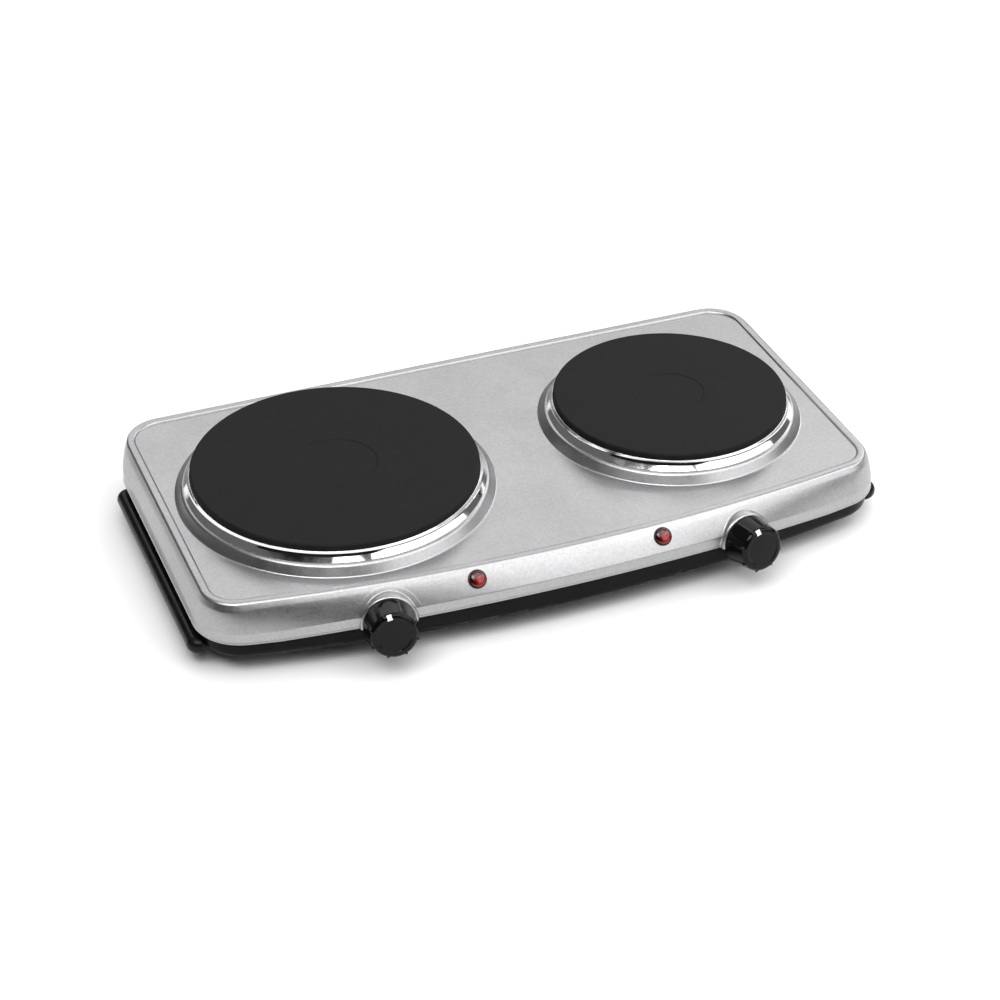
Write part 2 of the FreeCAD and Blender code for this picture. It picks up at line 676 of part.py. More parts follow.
# ---------------------------------------------------------------- electrics
def mains_block():
    """Three-way terminal block on the tub's floor by the cable bush."""
    block = box(BLOCK_X - 15, BLOCK_X + 15, BLOCK_Y - 6, BLOCK_Y + 6, BLOCK_Z,
                BLOCK_Z + BLOCK_HEIGHT)
    wells = [cylinder(SCREW_R + CLEAR, BLOCK_Z + 6, FAR, BLOCK_X + dx, BLOCK_Y) for dx in PIN_XS]
    return cut_all(block, wells)


def block_screws():
    """Slotted clamping screws of the mains block."""
    screws = []
    top = BLOCK_Z + 12.5
    for dx in PIN_XS:
        x = BLOCK_X + dx
        pin = cylinder(SCREW_R, BLOCK_Z + 7, top, x, BLOCK_Y)
        slot = box(x - 3, x + 3, BLOCK_Y - 0.4, BLOCK_Y + 0.4, top - 1, top + 1)
        screws.append(pin.cut(slot))
    return group(screws)


def cable_bush():
    """Flexible bush in the back wall that the mains cord would come through."""
    wall = TUB.back
    sleeve = across_wall(BUSH_R, wall - 6, wall + 6)
    outer = Part.makeCone(BUSH_FLANGE_R, BUSH_R + 0.6, 5.0, V(BUSH_X, wall, BUSH_Z), V(0, 1, 0))
    inner = across_wall(BUSH_FLANGE_R, wall - BASE_WALL - 2.0, wall - BASE_WALL)
    return sleeve.fuse(outer).fuse(inner).cut(across_wall(CORD_R, wall - 15, FAR))


def earth_screw():
    """Earth stud with its nut, on the tub's floor."""
    x, y = BLOCK_X - 30.0, BLOCK_Y
    stud = cylinder(SCREW_R, BLOCK_Z, BLOCK_Z + 10, x, y)
    return stud.fuse(hexagon(7.0, BLOCK_Z, BLOCK_Z + 3, x, y))


def thermal_fuses():
    """Cut-outs lying on the heat shield below the plates."""
    z = SHIELD_Z + SHIELD_T + FUSE_R
    return group([Part.makeCylinder(FUSE_R, 12, V(x - 20, 20, z), V(0, 1, 0)) for x in (LARGE_X, SMALL_X)])


def inner_leads():
    """Insulated leads from the mains block to the thermostats and on to the plates."""
    leads = []
    z = LEAD_Z
    for side, plate_x in ((-1, LARGE_X), (1, SMALL_X)):
        thermostat_x = side * (CONTROL_X - 24.0)
        pin_x = plate_x + TERMINAL_OFFSET
        leads.append(lead([V(pin_x, 0, TERMINAL_TOP - 17.5), V(pin_x, -12, z), V(pin_x, -60, z),
                           V(thermostat_x, -92, z)], LEAD_R))
    start_y = BLOCK_Y - 7.6
    low, high = LEAD_Z - 0.4, LEAD_Z + 2.0
    leads.append(lead([V(BLOCK_X - 10, start_y, low), V(BLOCK_X - 30, 80, low), V(20, 76, low),
                       V(-20, 10, low), V(-20, -92, low), V(-80, -97, low)], LEAD_R))
    leads.append(lead([V(BLOCK_X, start_y, low), V(BLOCK_X - 8, 74, high), V(28, 68, high),
                       V(28, -92, high), V(84, -97, high)], LEAD_R))
    return group(leads)


# ---------------------------------------------------------------- all pieces
def pieces():
    """Every node's name and its shape, in the working frame."""
    return {
        "deck": deck(),
        "base_pan": base_pan(),
        "left_handle": handle(-1),
        "right_handle": handle(1),
        "handle_screws": handle_screws(),
        "heat_shield": heat_shield(),
        "feet": feet(),
        "foot_screws": foot_screws(),
        "deck_pillars": deck_pillars(),
        "base_screws": base_screws(),
        "large_plate": plate(LARGE_R, LARGE_X),
        "small_plate": plate(SMALL_R, SMALL_X),
        "large_overflow_ring": overflow_ring(LARGE_R, LARGE_X),
        "small_overflow_ring": overflow_ring(SMALL_R, SMALL_X),
        "large_coil": coil(LARGE_R, LARGE_X),
        "small_coil": coil(SMALL_R, SMALL_X),
        "large_insulation": insulation(LARGE_R, LARGE_X),
        "small_insulation": insulation(SMALL_R, SMALL_X),
        "large_cover_plate": cover_plate(LARGE_R, LARGE_X),
        "small_cover_plate": cover_plate(SMALL_R, SMALL_X),
        "large_ceramic_block": ceramic_block(LARGE_X),
        "small_ceramic_block": ceramic_block(SMALL_X),
        "element_pins": element_pins(),
        "plate_studs": plate_studs(),
        "plate_bridges": plate_bridges(),
        "plate_nuts": plate_nuts(),
        "left_thermostat": thermostat(-1),
        "right_thermostat": thermostat(1),
        "thermostat_terminals": thermostat_terminals(),
        "bushing_nuts": bushing_nuts(),
        "left_shaft": shaft(-1),
        "right_shaft": shaft(1),
        "left_knob": knob(-1),
        "right_knob": knob(1),
        "left_spring_clip": spring_clip(-1),
        "right_spring_clip": spring_clip(1),
        "lamp_bezels": lamp_bezels(),
        "left_lamp_lens": lamp_lens(-LAMP_X),
        "right_lamp_lens": lamp_lens(LAMP_X),
        "lamp_clips": lamp_clips(),
        "neon_lamps": neon_lamps(),
        "mains_block": mains_block(),
        "block_screws": block_screws(),
        "cable_bush": cable_bush(),
        "earth_screw": earth_screw(),
        "thermal_fuses": thermal_fuses(),
        "inner_leads": inner_leads(),
    }


def write(shapes):
    """Centre the whole object on the origin along Y and write one file per node."""
    os.makedirs("parts", exist_ok=True)
    low = min(s.optimalBoundingBox(False).YMin for s in shapes.values())
    high = max(s.optimalBoundingBox(False).YMax for s in shapes.values())
    step = -(low + high) / 2
    print("step along Y:", round(step, 4))
    for name, shape in shapes.items():
        shape.translate(V(0, step, 0))
        if not shape.isValid():
            print("not valid:", name)
        shape.exportStep("parts/" + name + ".step")


write(pieces())
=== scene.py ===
"""Looks of a double electric hot plate: pressed steel deck, two cast plates, black base, two knobs.

Sizes are in millimetres in the maker's frame: X to the right, Y to the back from the line through both
plate centres, Z up from the table. spot() and to_frame() turn them into metres in the frame of the
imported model.
"""

import logging
import math
from collections.abc import Callable, Iterator, Sequence
from contextlib import contextmanager
from dataclasses import dataclass, field
from enum import Enum

import bmesh
import bpy
from mathutils import Matrix, Vector


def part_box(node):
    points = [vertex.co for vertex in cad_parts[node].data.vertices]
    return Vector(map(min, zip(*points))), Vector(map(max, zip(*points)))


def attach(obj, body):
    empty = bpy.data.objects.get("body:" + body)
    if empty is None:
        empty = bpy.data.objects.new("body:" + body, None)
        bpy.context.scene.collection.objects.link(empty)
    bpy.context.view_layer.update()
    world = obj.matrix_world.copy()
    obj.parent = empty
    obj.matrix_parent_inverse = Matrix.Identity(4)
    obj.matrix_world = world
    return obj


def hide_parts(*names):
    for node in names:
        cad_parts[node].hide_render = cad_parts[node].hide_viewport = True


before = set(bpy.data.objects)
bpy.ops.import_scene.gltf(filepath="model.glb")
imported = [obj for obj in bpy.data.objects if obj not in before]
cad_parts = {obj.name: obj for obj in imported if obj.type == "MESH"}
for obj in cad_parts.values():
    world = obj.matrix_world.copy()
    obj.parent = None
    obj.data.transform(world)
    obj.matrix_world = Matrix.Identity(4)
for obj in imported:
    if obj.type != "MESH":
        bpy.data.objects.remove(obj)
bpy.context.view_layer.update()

MM = 0.001
LOG = logging.getLogger("hot_plate")
PLATE_LINE = sum(corner.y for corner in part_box("large_plate")) / 2 / MM
Row = tuple[float, float]
Bend = tuple[float, float, float]
Piece = bpy.types.Object
Socket = bpy.types.NodeSocket


# ------------------------------------------------------------------ placing and drawing
def spot(x: float, y: float, z: float) -> Vector:
    """A point of the maker's frame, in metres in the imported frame."""
    return Vector((x, y + PLATE_LINE, z)) * MM


def to_frame(place: Matrix) -> Matrix:
    """A placing in the maker's frame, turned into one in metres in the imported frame."""
    return Matrix.Scale(MM, 4) @ Matrix.Translation((0, PLATE_LINE, 0)) @ place


def heading(turn: float, rise: float) -> Vector:
    """Direction turned from the front (-Y) toward +X and then raised, both in degrees."""
    flat = math.cos(math.radians(rise))
    across = math.radians(turn)
    return Vector((math.sin(across) * flat, -math.cos(across) * flat, math.sin(math.radians(rise))))


def smooth_max(a: float, b: float, width: float) -> float:
    """The larger of two heights, with the valley between them filled over the given width.

    Args:
        a: First height.
        b: Second height.
        width: Difference under which the two flow into each other.

    Returns:
        The joined height.
    """
    near = max(width - abs(a - b), 0.0) / width
    return max(a, b) + near * near * width / 4


def rounded(bends: Sequence[Bend], turn_step: float = 14.0) -> list[Row]:
    """Turn a line of corners into a line whose corners are arcs.

    Args:
        bends: Corners as (across, height, radius); a radius of 0 keeps the corner sharp.
        turn_step: Largest turn between two points of an arc, in degrees.

    Returns:
        The line's points.
    """
    line: list[Row] = []
    for index, (x, y, radius) in enumerate(bends):
        if radius <= 0 or index in (0, len(bends) - 1):
            line.append((x, y))
            continue
        here = Vector((x, y))
        back = (Vector(bends[index - 1][:2]) - here).normalized()
        ahead = (Vector(bends[index + 1][:2]) - here).normalized()
        half = back.angle(ahead) / 2
        reach = radius / math.tan(half)
        centre = here + (back + ahead).normalized() * (radius / math.sin(half))
        start = here + back * reach - centre
        stop = here + ahead * reach - centre
        turn = start.angle_signed(stop)
        steps = max(2, math.ceil(abs(math.degrees(turn)) / turn_step))
        for step in range(steps + 1):
            point = centre + start @ Matrix.Rotation(turn * step / steps, 2)
            line.append((point.x, point.y))
    return line


def deselect() -> None:
    """Leave nothing selected."""
    bpy.ops.object.select_all(action="DESELECT")


@contextmanager
def editing(piece: Piece) -> Iterator[None]:
    """Hold one piece alone in edit mode.

    Args:
        piece: The piece to edit.

    Yields:
        Nothing; the piece is in edit mode meanwhile.
    """
    deselect()
    piece.select_set(True)
    bpy.context.view_layer.objects.active = piece
    bpy.ops.object.mode_set(mode="EDIT")
    yield
    bpy.ops.object.mode_set(mode="OBJECT")


def pick(piece: Piece, wanted: Callable[[bmesh.types.BMVert], bool]) -> int:
    """Select the vertices that pass a test, in edit mode, and what lies wholly between them.

    Args:
        piece: The piece in edit mode.
        wanted: Test of one vertex.

    Returns:
        How many vertices are selected.
    """
    mesh = bmesh.from_edit_mesh(piece.data)
    mesh.select_mode = {"VERT"}
    for vert in mesh.verts:
        vert.select = wanted(vert)
    mesh.select_flush(True)
    mesh.select_flush(False)
    bmesh.update_edit_mesh(piece.data)
    return sum(vert.select for vert in mesh.verts)


class Ends(Enum):
    """What closes the first and the last ring of a drawn shape."""

    OPEN = "open"
    CAPPED = "capped"


def draw_rings(name: str, rings: Sequence[Sequence[Vector]], first: Ends, last: Ends) -> Piece:
    """Start from a circle and extrude its edge from ring to ring.

    Args:
        name: Name of the piece.
        rings: Points of each ring, the same number in every ring.
        first: What closes the first ring.
        last: What closes the last ring.

    Returns:
        The new piece, with its faces pointing outwards.
    """
    deselect()
    bpy.ops.mesh.primitive_circle_add(vertices=len(rings[0]), radius=MM, fill_type="NOTHING")
    piece = bpy.context.object
    piece.name = name
    with editing(piece):
        mesh = bmesh.from_edit_mesh(piece.data)
        column = mesh.verts.layers.int.new("column")
        row = mesh.verts.layers.int.new("row")
        for index, vert in enumerate(mesh.verts):
            vert[column] = index
        bpy.ops.mesh.select_all(action="SELECT")
        for number, ring in enumerate(rings):
            if number:
                bpy.ops.mesh.extrude_region()
            mesh = bmesh.from_edit_mesh(piece.data)
            column = mesh.verts.layers.int["column"]
            row = mesh.verts.layers.int["row"]
            for vert in mesh.verts:
                if vert.select:
                    vert.co = ring[vert[column]]
                    vert[row] = number
            bmesh.update_edit_mesh(piece.data)
        if last is Ends.CAPPED:
            bpy.ops.mesh.edge_face_add()
        if first is Ends.CAPPED:
            pick(piece, lambda vert: vert[row] == 0)
            bpy.ops.mesh.edge_face_add()
        bpy.ops.mesh.select_all(action="SELECT")
        bpy.ops.mesh.remove_doubles(threshold=1e-7)
        bpy.ops.mesh.normals_make_consistent(inside=False)
    return piece


def turned(
    name: str,
    profile: Sequence[Row],
    place: Matrix,
    columns: int,
    first: Ends = Ends.OPEN,
    last: Ends = Ends.OPEN,
    swell: Callable[[float, float, float], float] | None = None,
) -> Piece:
    """Draw a turned shape about its own Z axis.

    Args:
        name: Name of the piece.
        profile: Points as (radius, height) in millimetres.
        place: From the shape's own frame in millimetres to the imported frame.
        columns: Number of points round the axis.
        first: What closes the first ring.
        last: What closes the last ring.
        swell: Extra radius for (angle, radius, height), if any.

    Returns:
        The new piece.
    """
    rings = []
    for radius, height in profile:
        ring = []
        for column in range(columns):
            angle = math.tau * column / columns
            reach = radius + (swell(angle, radius, height) if swell else 0.0)
            ring.append(place @ Vector((reach * math.cos(angle), reach * math.sin(angle), height)))
        rings.append(ring)
    return draw_rings(name, rings, first, last)


def add_modifier(piece: Piece, kind: str, **settings: object) -> None:
    """Add one modifier with its settings and apply it.

    Args:
        piece: The piece to change.
        kind: Blender's name of the modifier's kind.
        **settings: Values of the modifier's properties.
    """
    deselect()
    piece.select_set(True)
    bpy.context.view_layer.objects.active = piece
    modifier = piece.modifiers.new(kind.title(), kind)
    for key, value in settings.items():
        setattr(modifier, key, value)
    bpy.ops.object.modifier_apply(modifier=modifier.name)


def smooth(piece: Piece, angle: float = 40.0) -> None:
    """Shade a piece smooth up to an angle, with large flat faces kept flat.

    Args:
        piece: The piece to shade.
        angle: Edges that turn by more degrees than this stay sharp.
    """
    deselect()
    piece.select_set(True)
    bpy.context.view_layer.objects.active = piece
    bpy.ops.object.shade_smooth_by_angle(angle=math.radians(angle))
    add_modifier(piece, "WEIGHTED_NORMAL", mode="FACE_AREA", weight=60, keep_sharp=True)


def join(pieces: Sequence[Piece]) -> Piece:
    """Join pieces into the first one and return it."""
    deselect()
    for piece in pieces:
        piece.select_set(True)
    bpy.context.view_layer.objects.active = pieces[0]
    bpy.ops.object.join()
    return pieces[0]


def finish_piece(piece: Piece, body: str, finish: "Finish", slot: str, *nodes: str) -> None:
    """Give a new piece its finish, its body and the nodes that it stands for.

    Args:
        piece: The new piece.
        body: Body that it rides on.
        finish: Its finish.
        slot: The record's material slot; not used.
        *nodes: CAD nodes that it replaces.
    """
    if not piece.data.materials:
        piece.data.materials.append(finish.material())
    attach(piece, body)
    if nodes:
        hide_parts(*nodes)
    LOG.info("%s: %d faces, rides on %s", piece.name, len(piece.data.polygons), body)


# ------------------------------------------------------------------ finishes
class Recipe:
    """One material under construction, node by node."""

    def __init__(self, name: str) -> None:
        """Start a material with an empty shader."""
        self.material = bpy.data.materials.new(name)
        self.material.use_nodes = True
        self.nodes = self.material.node_tree.nodes
        self.links = self.material.node_tree.links
        self.shader = self.nodes["Principled BSDF"]

    def set(self, **values: object) -> None:
        """Set the shader's own sockets; an underscore in a name stands for a blank."""
        for key, value in values.items():
            self.shader.inputs[key.replace("_", " ")].default_value = value

    def node(self, kind: str, **settings: object) -> bpy.types.Node:
        """Add a node and set its properties."""
        made = self.nodes.new("ShaderNode" + kind)
        for key, value in settings.items():
            setattr(made, key, value)
        return made

    def place(self, centre: Vector | None = None, scale: Sequence[float] = (1, 1, 1)) -> Socket:
        """Object coordinates, moved so that a point is the pattern's centre.

        Args:
            centre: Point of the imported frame, in metres, or none.
            scale: Stretch along each axis.

        Returns:
            The vector socket.
        """
        mapping = self.node("Mapping")
        moved = [-a * b for a, b in zip(centre or (0, 0, 0), scale)]
        mapping.inputs["Location"].default_value = moved
        mapping.inputs["Scale"].default_value = scale
        self.links.new(self.node("TexCoord").outputs["Object"], mapping.inputs["Vector"])
        return mapping.outputs["Vector"]

    def noise(self, vector: Socket, size: float, detail: float = 3.0, rough: float = 0.5) -> Socket:
        """Noise whose blobs have the given size.

        Args:
            vector: Where to read the noise.
            size: Size of a blob, in millimetres.
            detail: Number of finer layers.
            rough: Strength of the finer layers.

        Returns:
            A value socket from 0 to 1.
        """
        made = self.node("TexNoise")
        made.inputs["Scale"].default_value = 1 / (size * MM)
        made.inputs["Detail"].default_value = detail
        made.inputs["Roughness"].default_value = rough
        self.links.new(vector, made.inputs["Vector"])
        return made.outputs["Fac"]

    def math(self, kind: str, a: Socket | float, b: Socket | float = 0.0) -> Socket:
        """One sum on sockets or numbers."""
        made = self.node("Math", operation=kind)
        for slot, value in zip(made.inputs, (a, b)):
            if isinstance(value, (int, float)):
                slot.default_value = value
            else:
                self.links.new(value, slot)
        return made.outputs[0]

    def span(
        self, value: Socket, low: float, high: float, start: float = 0.3, stop: float = 0.7
    ) -> Socket:
        """Stretch a value onto a range.

        Args:
            value: The value to stretch.
            low: Result at start and under.
            high: Result at stop and over.
            start: Value that gives low.
            stop: Value that gives high.

        Returns:
            The stretched value.
        """
        made = self.node("MapRange", interpolation_type="SMOOTHSTEP")
        self.links.new(value, made.inputs["Value"])
        for key, number in (("From Min", start), ("From Max", stop), ("To Min", low), ("To Max", high)):
            made.inputs[key].default_value = number
        return made.outputs["Result"]

    def blend(self, share: Socket, low: Sequence[float], high: Sequence[float]) -> Socket:
        """Colour between two colours by a share."""
        made = self.node("Mix", data_type="RGBA")
        made.inputs["A"].default_value = (*low, 1)
        made.inputs["B"].default_value = (*high, 1)
        self.links.new(share, made.inputs["Factor"])
        return made.outputs["Result"]

    def bump(self, height: Socket, depth: float, normal: Socket | None = None) -> Socket:
        """Bump of a real depth.

        Args:
            height: Height from 0 to 1.
            depth: Depth that it stands for, in millimetres.
            normal: Bump to add this one to.

        Returns:
            The normal socket.
        """
        made = self.node("Bump")
        made.inputs["Distance"].default_value = depth * MM
        self.links.new(height, made.inputs["Height"])
        if normal:
            self.links.new(normal, made.inputs["Normal"])
        return made.outputs["Normal"]

    def feed(self, **sockets: Socket) -> None:
        """Link values into the shader; an underscore in a name stands for a blank."""
        for key, value in sockets.items():
            self.links.new(value, self.shader.inputs[key.replace("_", " ")])


@dataclass(frozen=True)
class Finish:
    """A finish: two tones that mottle it, its range of roughness, and its grain.

    The grain's size and the depth of its bump are in millimetres.
    """

    name: str
    dark: tuple[float, float, float]
    light: tuple[float, float, float]
    metal: float = 0.0
    gloss: tuple[float, float] = (0.35, 0.45)
    grain: float = 1.0
    depth: float = 0.01
    specular: float = 0.5

    def recipe(self) -> Recipe:
        """The common part: mottled tone, uneven gloss and a fine grain."""
        made = Recipe(self.name)
        where = made.place()
        fine = made.noise(where, self.grain, 4.0, 0.6)
        broad = made.noise(where, self.grain * 14, 2.0)
        mottle = made.math("MULTIPLY", made.math("ADD", fine, broad), 0.5)
        made.set(Metallic=self.metal, Specular_IOR_Level=self.specular)
        made.feed(
            Base_Color=made.blend(made.span(mottle, 0, 1, 0.35, 0.65), self.dark, self.light),
            Roughness=made.span(broad, *self.gloss),
            Normal=made.bump(fine, self.depth),
        )
        return made

    def material(self) -> bpy.types.Material:
        """The finish's material, made once."""
        title = f"finish_{self.name}"
        found = bpy.data.materials.get(title)
        if not found:
            found = self.recipe().material
            found.name = title
        return found


@dataclass(frozen=True)
class SatinSteel(Finish):
    """Deck sheet: satin silver with sparkling grains, whose size is in millimetres."""

    sparkle: float = 1.1

    def recipe(self) -> Recipe:
        """Satin sheet: grains of differing tone and tilt over faint rolling streaks."""
        made = Recipe(self.name)
        where = made.place()
        grains = made.node("TexVoronoi", feature="F1")
        grains.inputs["Scale"].default_value = 1 / (self.sparkle * MM)
        made.links.new(where, grains.inputs["Vector"])
        tint = made.node("SeparateColor")
        made.links.new(grains.outputs["Color"], tint.inputs["Color"])
        fine = made.noise(where, self.grain, 3.0, 0.6)
        broad = made.noise(where, 35.0, 3.0, 0.55)
        streak = made.noise(made.place(scale=(0.05, 1, 1)), 1.6, 3.0, 0.6)
        tone = made.math(
            "ADD", made.math("MULTIPLY", tint.outputs["Red"], 0.5), made.math("MULTIPLY", fine, 0.5)
        )
        made.set(Metallic=self.metal)
        rough = made.math("ADD", made.span(broad, *self.gloss), made.math("MULTIPLY", streak, 0.06))
        grit = made.math("ADD", made.math("MULTIPLY", tint.outputs["Green"], 0.6), fine)
        made.feed(
            Base_Color=made.blend(made.span(tone, 0, 1, 0.2, 0.8), self.dark, self.light),
            Roughness=made.math("ADD", rough, made.math("MULTIPLY", tint.outputs["Blue"], 0.05)),
            Normal=made.bump(grit, self.depth),
        )
        return made


@dataclass(frozen=True)
class CastIron(Finish):
    """Cooking surface: blackened iron with turning marks round the plate's centre."""

    centre: tuple[float, float, float] = (0.0, 0.0, 0.0)
    pitch: float = 0.9

    def recipe(self) -> Recipe:
        """Turned black iron: fine rings, a sooty mottle and a few pale rubs."""
        made = Recipe(self.name)
        where = made.place(Vector(self.centre))
        rings = made.node("TexWave", wave_type="RINGS", rings_direction="Z", wave_profile="SIN")
        rings.inputs["Scale"].default_value = math.pi / 10 / (self.pitch * MM)
        rings.inputs["Distortion"].default_value = 0.6
        rings.inputs["Detail"].default_value = 2.0
        rings.inputs["Detail Scale"].default_value = 40.0
        made.links.new(where, rings.inputs["Vector"])
        fine = made.noise(where, self.grain, 4.0, 0.65)
        cloud = made.noise(where, 24.0, 4.0, 0.6)
        rub = made.noise(made.place(Vector(self.centre), (0.25, 1, 1)), 7.0, 5.0, 0.7)
        rubbed = made.span(rub, 0, 1, 0.64, 0.74)
        tone = made.math("ADD", made.math("MULTIPLY", fine, 0.5), made.math("MULTIPLY", cloud, 0.5))
        base = made.math("ADD", made.span(tone, 0, 0.8), made.math("MULTIPLY", rubbed, 0.5))
        grit = made.bump(fine, self.depth * 1.6)
        made.set(Specular_IOR_Level=self.specular)
        made.feed(
            Base_Color=made.blend(base, self.dark, self.light),
            Roughness=made.span(cloud, *self.gloss),
            Normal=made.bump(rings.outputs["Fac"], self.depth, grit),
        )
        return made


@dataclass(frozen=True)
class RedLens(Finish):
    """Lamp lens: clear red plastic, darker at the rim."""

    centre: tuple[float, float, float] = (0.0, 0.0, 0.0)

    def recipe(self) -> Recipe:
        """Deep red with a lighter heart and faint moulded facets."""
        made = Recipe(self.name)
        where = made.place(Vector(self.centre))
        length = made.node("VectorMath", operation="LENGTH")
        made.links.new(where, length.inputs[0])
        heart = made.span(length.outputs["Value"], 1, 0, 0.4 * MM, 5.4 * MM)
        facets = made.node("TexVoronoi", feature="F1")
        facets.inputs["Scale"].default_value = 1 / (1.1 * MM)
        made.links.new(where, facets.inputs["Vector"])
        share = made.math("MULTIPLY", heart, made.span(facets.outputs["Distance"], 0.6, 1.0, 0.1, 0.7))
        made.set(Roughness=0.08, IOR=1.49, Coat_Weight=0.6, Coat_Roughness=0.03, Emission_Strength=0.35)
        made.feed(
            Base_Color=made.blend(share, self.dark, self.light),
            Emission_Color=made.blend(share, (0, 0, 0), self.light),
            Normal=made.bump(facets.outputs["Distance"], self.depth),
        )
        return made


DECK_STEEL = SatinSteel(
    "deck_steel", (0.39, 0.39, 0.395), (0.44, 0.44, 0.445),
    metal=1.0, gloss=(0.25, 0.31), grain=1.0, depth=0.02,
)
RING_STEEL = Finish(
    "ring_steel", (0.80, 0.80, 0.81), (0.88, 0.88, 0.88),
    metal=1.0, gloss=(0.05, 0.11), grain=0.7, depth=0.0004,
)
BASE_ENAMEL = Finish(
    "black_enamel", (0.006, 0.006, 0.006), (0.011, 0.010, 0.010),
    gloss=(0.28, 0.40), grain=0.8, depth=0.006, specular=0.15,
)
HANDLE_PLASTIC = Finish(
    "handle_plastic", (0.006, 0.006, 0.006), (0.011, 0.010, 0.010),
    gloss=(0.22, 0.32), grain=0.6, depth=0.004, specular=0.25,
)
KNOB_PLASTIC = Finish(
    "knob_plastic", (0.004, 0.004, 0.004), (0.007, 0.007, 0.007),
    gloss=(0.06, 0.10), grain=0.9, depth=0.002, specular=0.28,
)
MARK_PAINT = Finish(
    "mark_paint", (0.80, 0.80, 0.79), (0.90, 0.90, 0.89),
    gloss=(0.35, 0.5), grain=0.4, depth=0.004,
)
BEZEL_PLASTIC = Finish(
    "bezel_plastic", (0.030, 0.006, 0.005), (0.045, 0.010, 0.008),
    gloss=(0.18, 0.3), grain=0.5, depth=0.003,
)
RUBBER = Finish(
    "foot_rubber", (0.015, 0.015, 0.015), (0.03, 0.03, 0.03),
    gloss=(0.6, 0.8), grain=0.7, depth=0.02,
)
BUSH_RUBBER = Finish(
    "bush_rubber", (0.014, 0.014, 0.014), (0.025, 0.025, 0.025),
    gloss=(0.5, 0.65), grain=0.6, depth=0.01,
)
ZINC = Finish(
    "zinc_screw", (0.50, 0.51, 0.53), (0.68, 0.68, 0.68),
    metal=1.0, gloss=(0.28, 0.42), grain=0.4, depth=0.004,
)
SHAFT = Finish(
    "shaft_steel", (0.55, 0.55, 0.55), (0.66, 0.66, 0.66),
    metal=1.0, gloss=(0.2, 0.3), grain=0.3, depth=0.003,
)
PLATED = Finish(
    "plated_sheet", (0.52, 0.52, 0.50), (0.66, 0.66, 0.64),
    metal=1.0, gloss=(0.3, 0.45), grain=1.2, depth=0.006,
)
SHIELD = Finish(
    "shield_aluminium", (0.68, 0.68, 0.69), (0.80, 0.80, 0.80),
    metal=1.0, gloss=(0.25, 0.4), grain=2.0, depth=0.01,
)
NICKEL = Finish(
    "nickel_pin", (0.55, 0.52, 0.47), (0.66, 0.63, 0.58),
    metal=1.0, gloss=(0.2, 0.32), grain=0.3, depth=0.003,
)
WIRE = Finish(
    "coil_wire", (0.28, 0.26, 0.25), (0.40, 0.38, 0.36),
    metal=1.0, gloss=(0.4, 0.6), grain=0.3, depth=0.006,
)
CERAMIC = Finish(
    "ceramic_white", (0.68, 0.66, 0.61), (0.80, 0.78, 0.73),
    gloss=(0.35, 0.5), grain=0.5, depth=0.006,
)
MINERAL = Finish(
    "mineral_fill", (0.55, 0.52, 0.46), (0.70, 0.67, 0.60),
    gloss=(0.8, 0.95), grain=0.4, depth=0.03,
)
BLOCK = Finish(
    "block_plastic", (0.60, 0.60, 0.56), (0.70, 0.70, 0.66),
    gloss=(0.35, 0.5), grain=0.6, depth=0.004,
)
FUSE = Finish(
    "fuse_case", (0.50, 0.47, 0.40), (0.62, 0.58, 0.50),
    metal=1.0, gloss=(0.3, 0.42), grain=0.4, depth=0.004,
)
SILICONE = Finish(
    "lead_silicone", (0.42, 0.05, 0.03), (0.55, 0.08, 0.05),
    gloss=(0.45, 0.6), grain=0.5, depth=0.008,
)
GLASS = Finish(
    "lamp_glass", (0.72, 0.70, 0.68), (0.80, 0.78, 0.76),
    gloss=(0.05, 0.1), grain=0.6, depth=0.002,
)

CAD_FINISHES = {
    "base_pan": BASE_ENAMEL, "feet": RUBBER, "cable_bush": BUSH_RUBBER, "handle_screws": ZINC,
    "foot_screws": ZINC, "base_screws": ZINC, "deck_pillars": PLATED, "heat_shield": SHIELD,
    "large_coil": WIRE, "small_coil": WIRE, "large_insulation": MINERAL, "small_insulation": MINERAL,
    "large_cover_plate": PLATED, "small_cover_plate": PLATED, "large_ceramic_block": CERAMIC,
    "small_ceramic_block": CERAMIC, "element_pins": NICKEL, "plate_studs": ZINC, "plate_bridges": PLATED,
    "plate_nuts": ZINC, "left_thermostat": CERAMIC, "right_thermostat": CERAMIC,
    "thermostat_terminals": NICKEL, "bushing_nuts": ZINC, "left_shaft": SHAFT, "right_shaft": SHAFT,
    "left_spring_clip": SHAFT, "right_spring_clip": SHAFT, "lamp_clips": PLATED, "neon_lamps": GLASS,
    "mains_block": BLOCK, "block_screws": ZINC, "earth_screw": ZINC, "thermal_fuses": FUSE,
    "inner_leads": SILICONE,
}


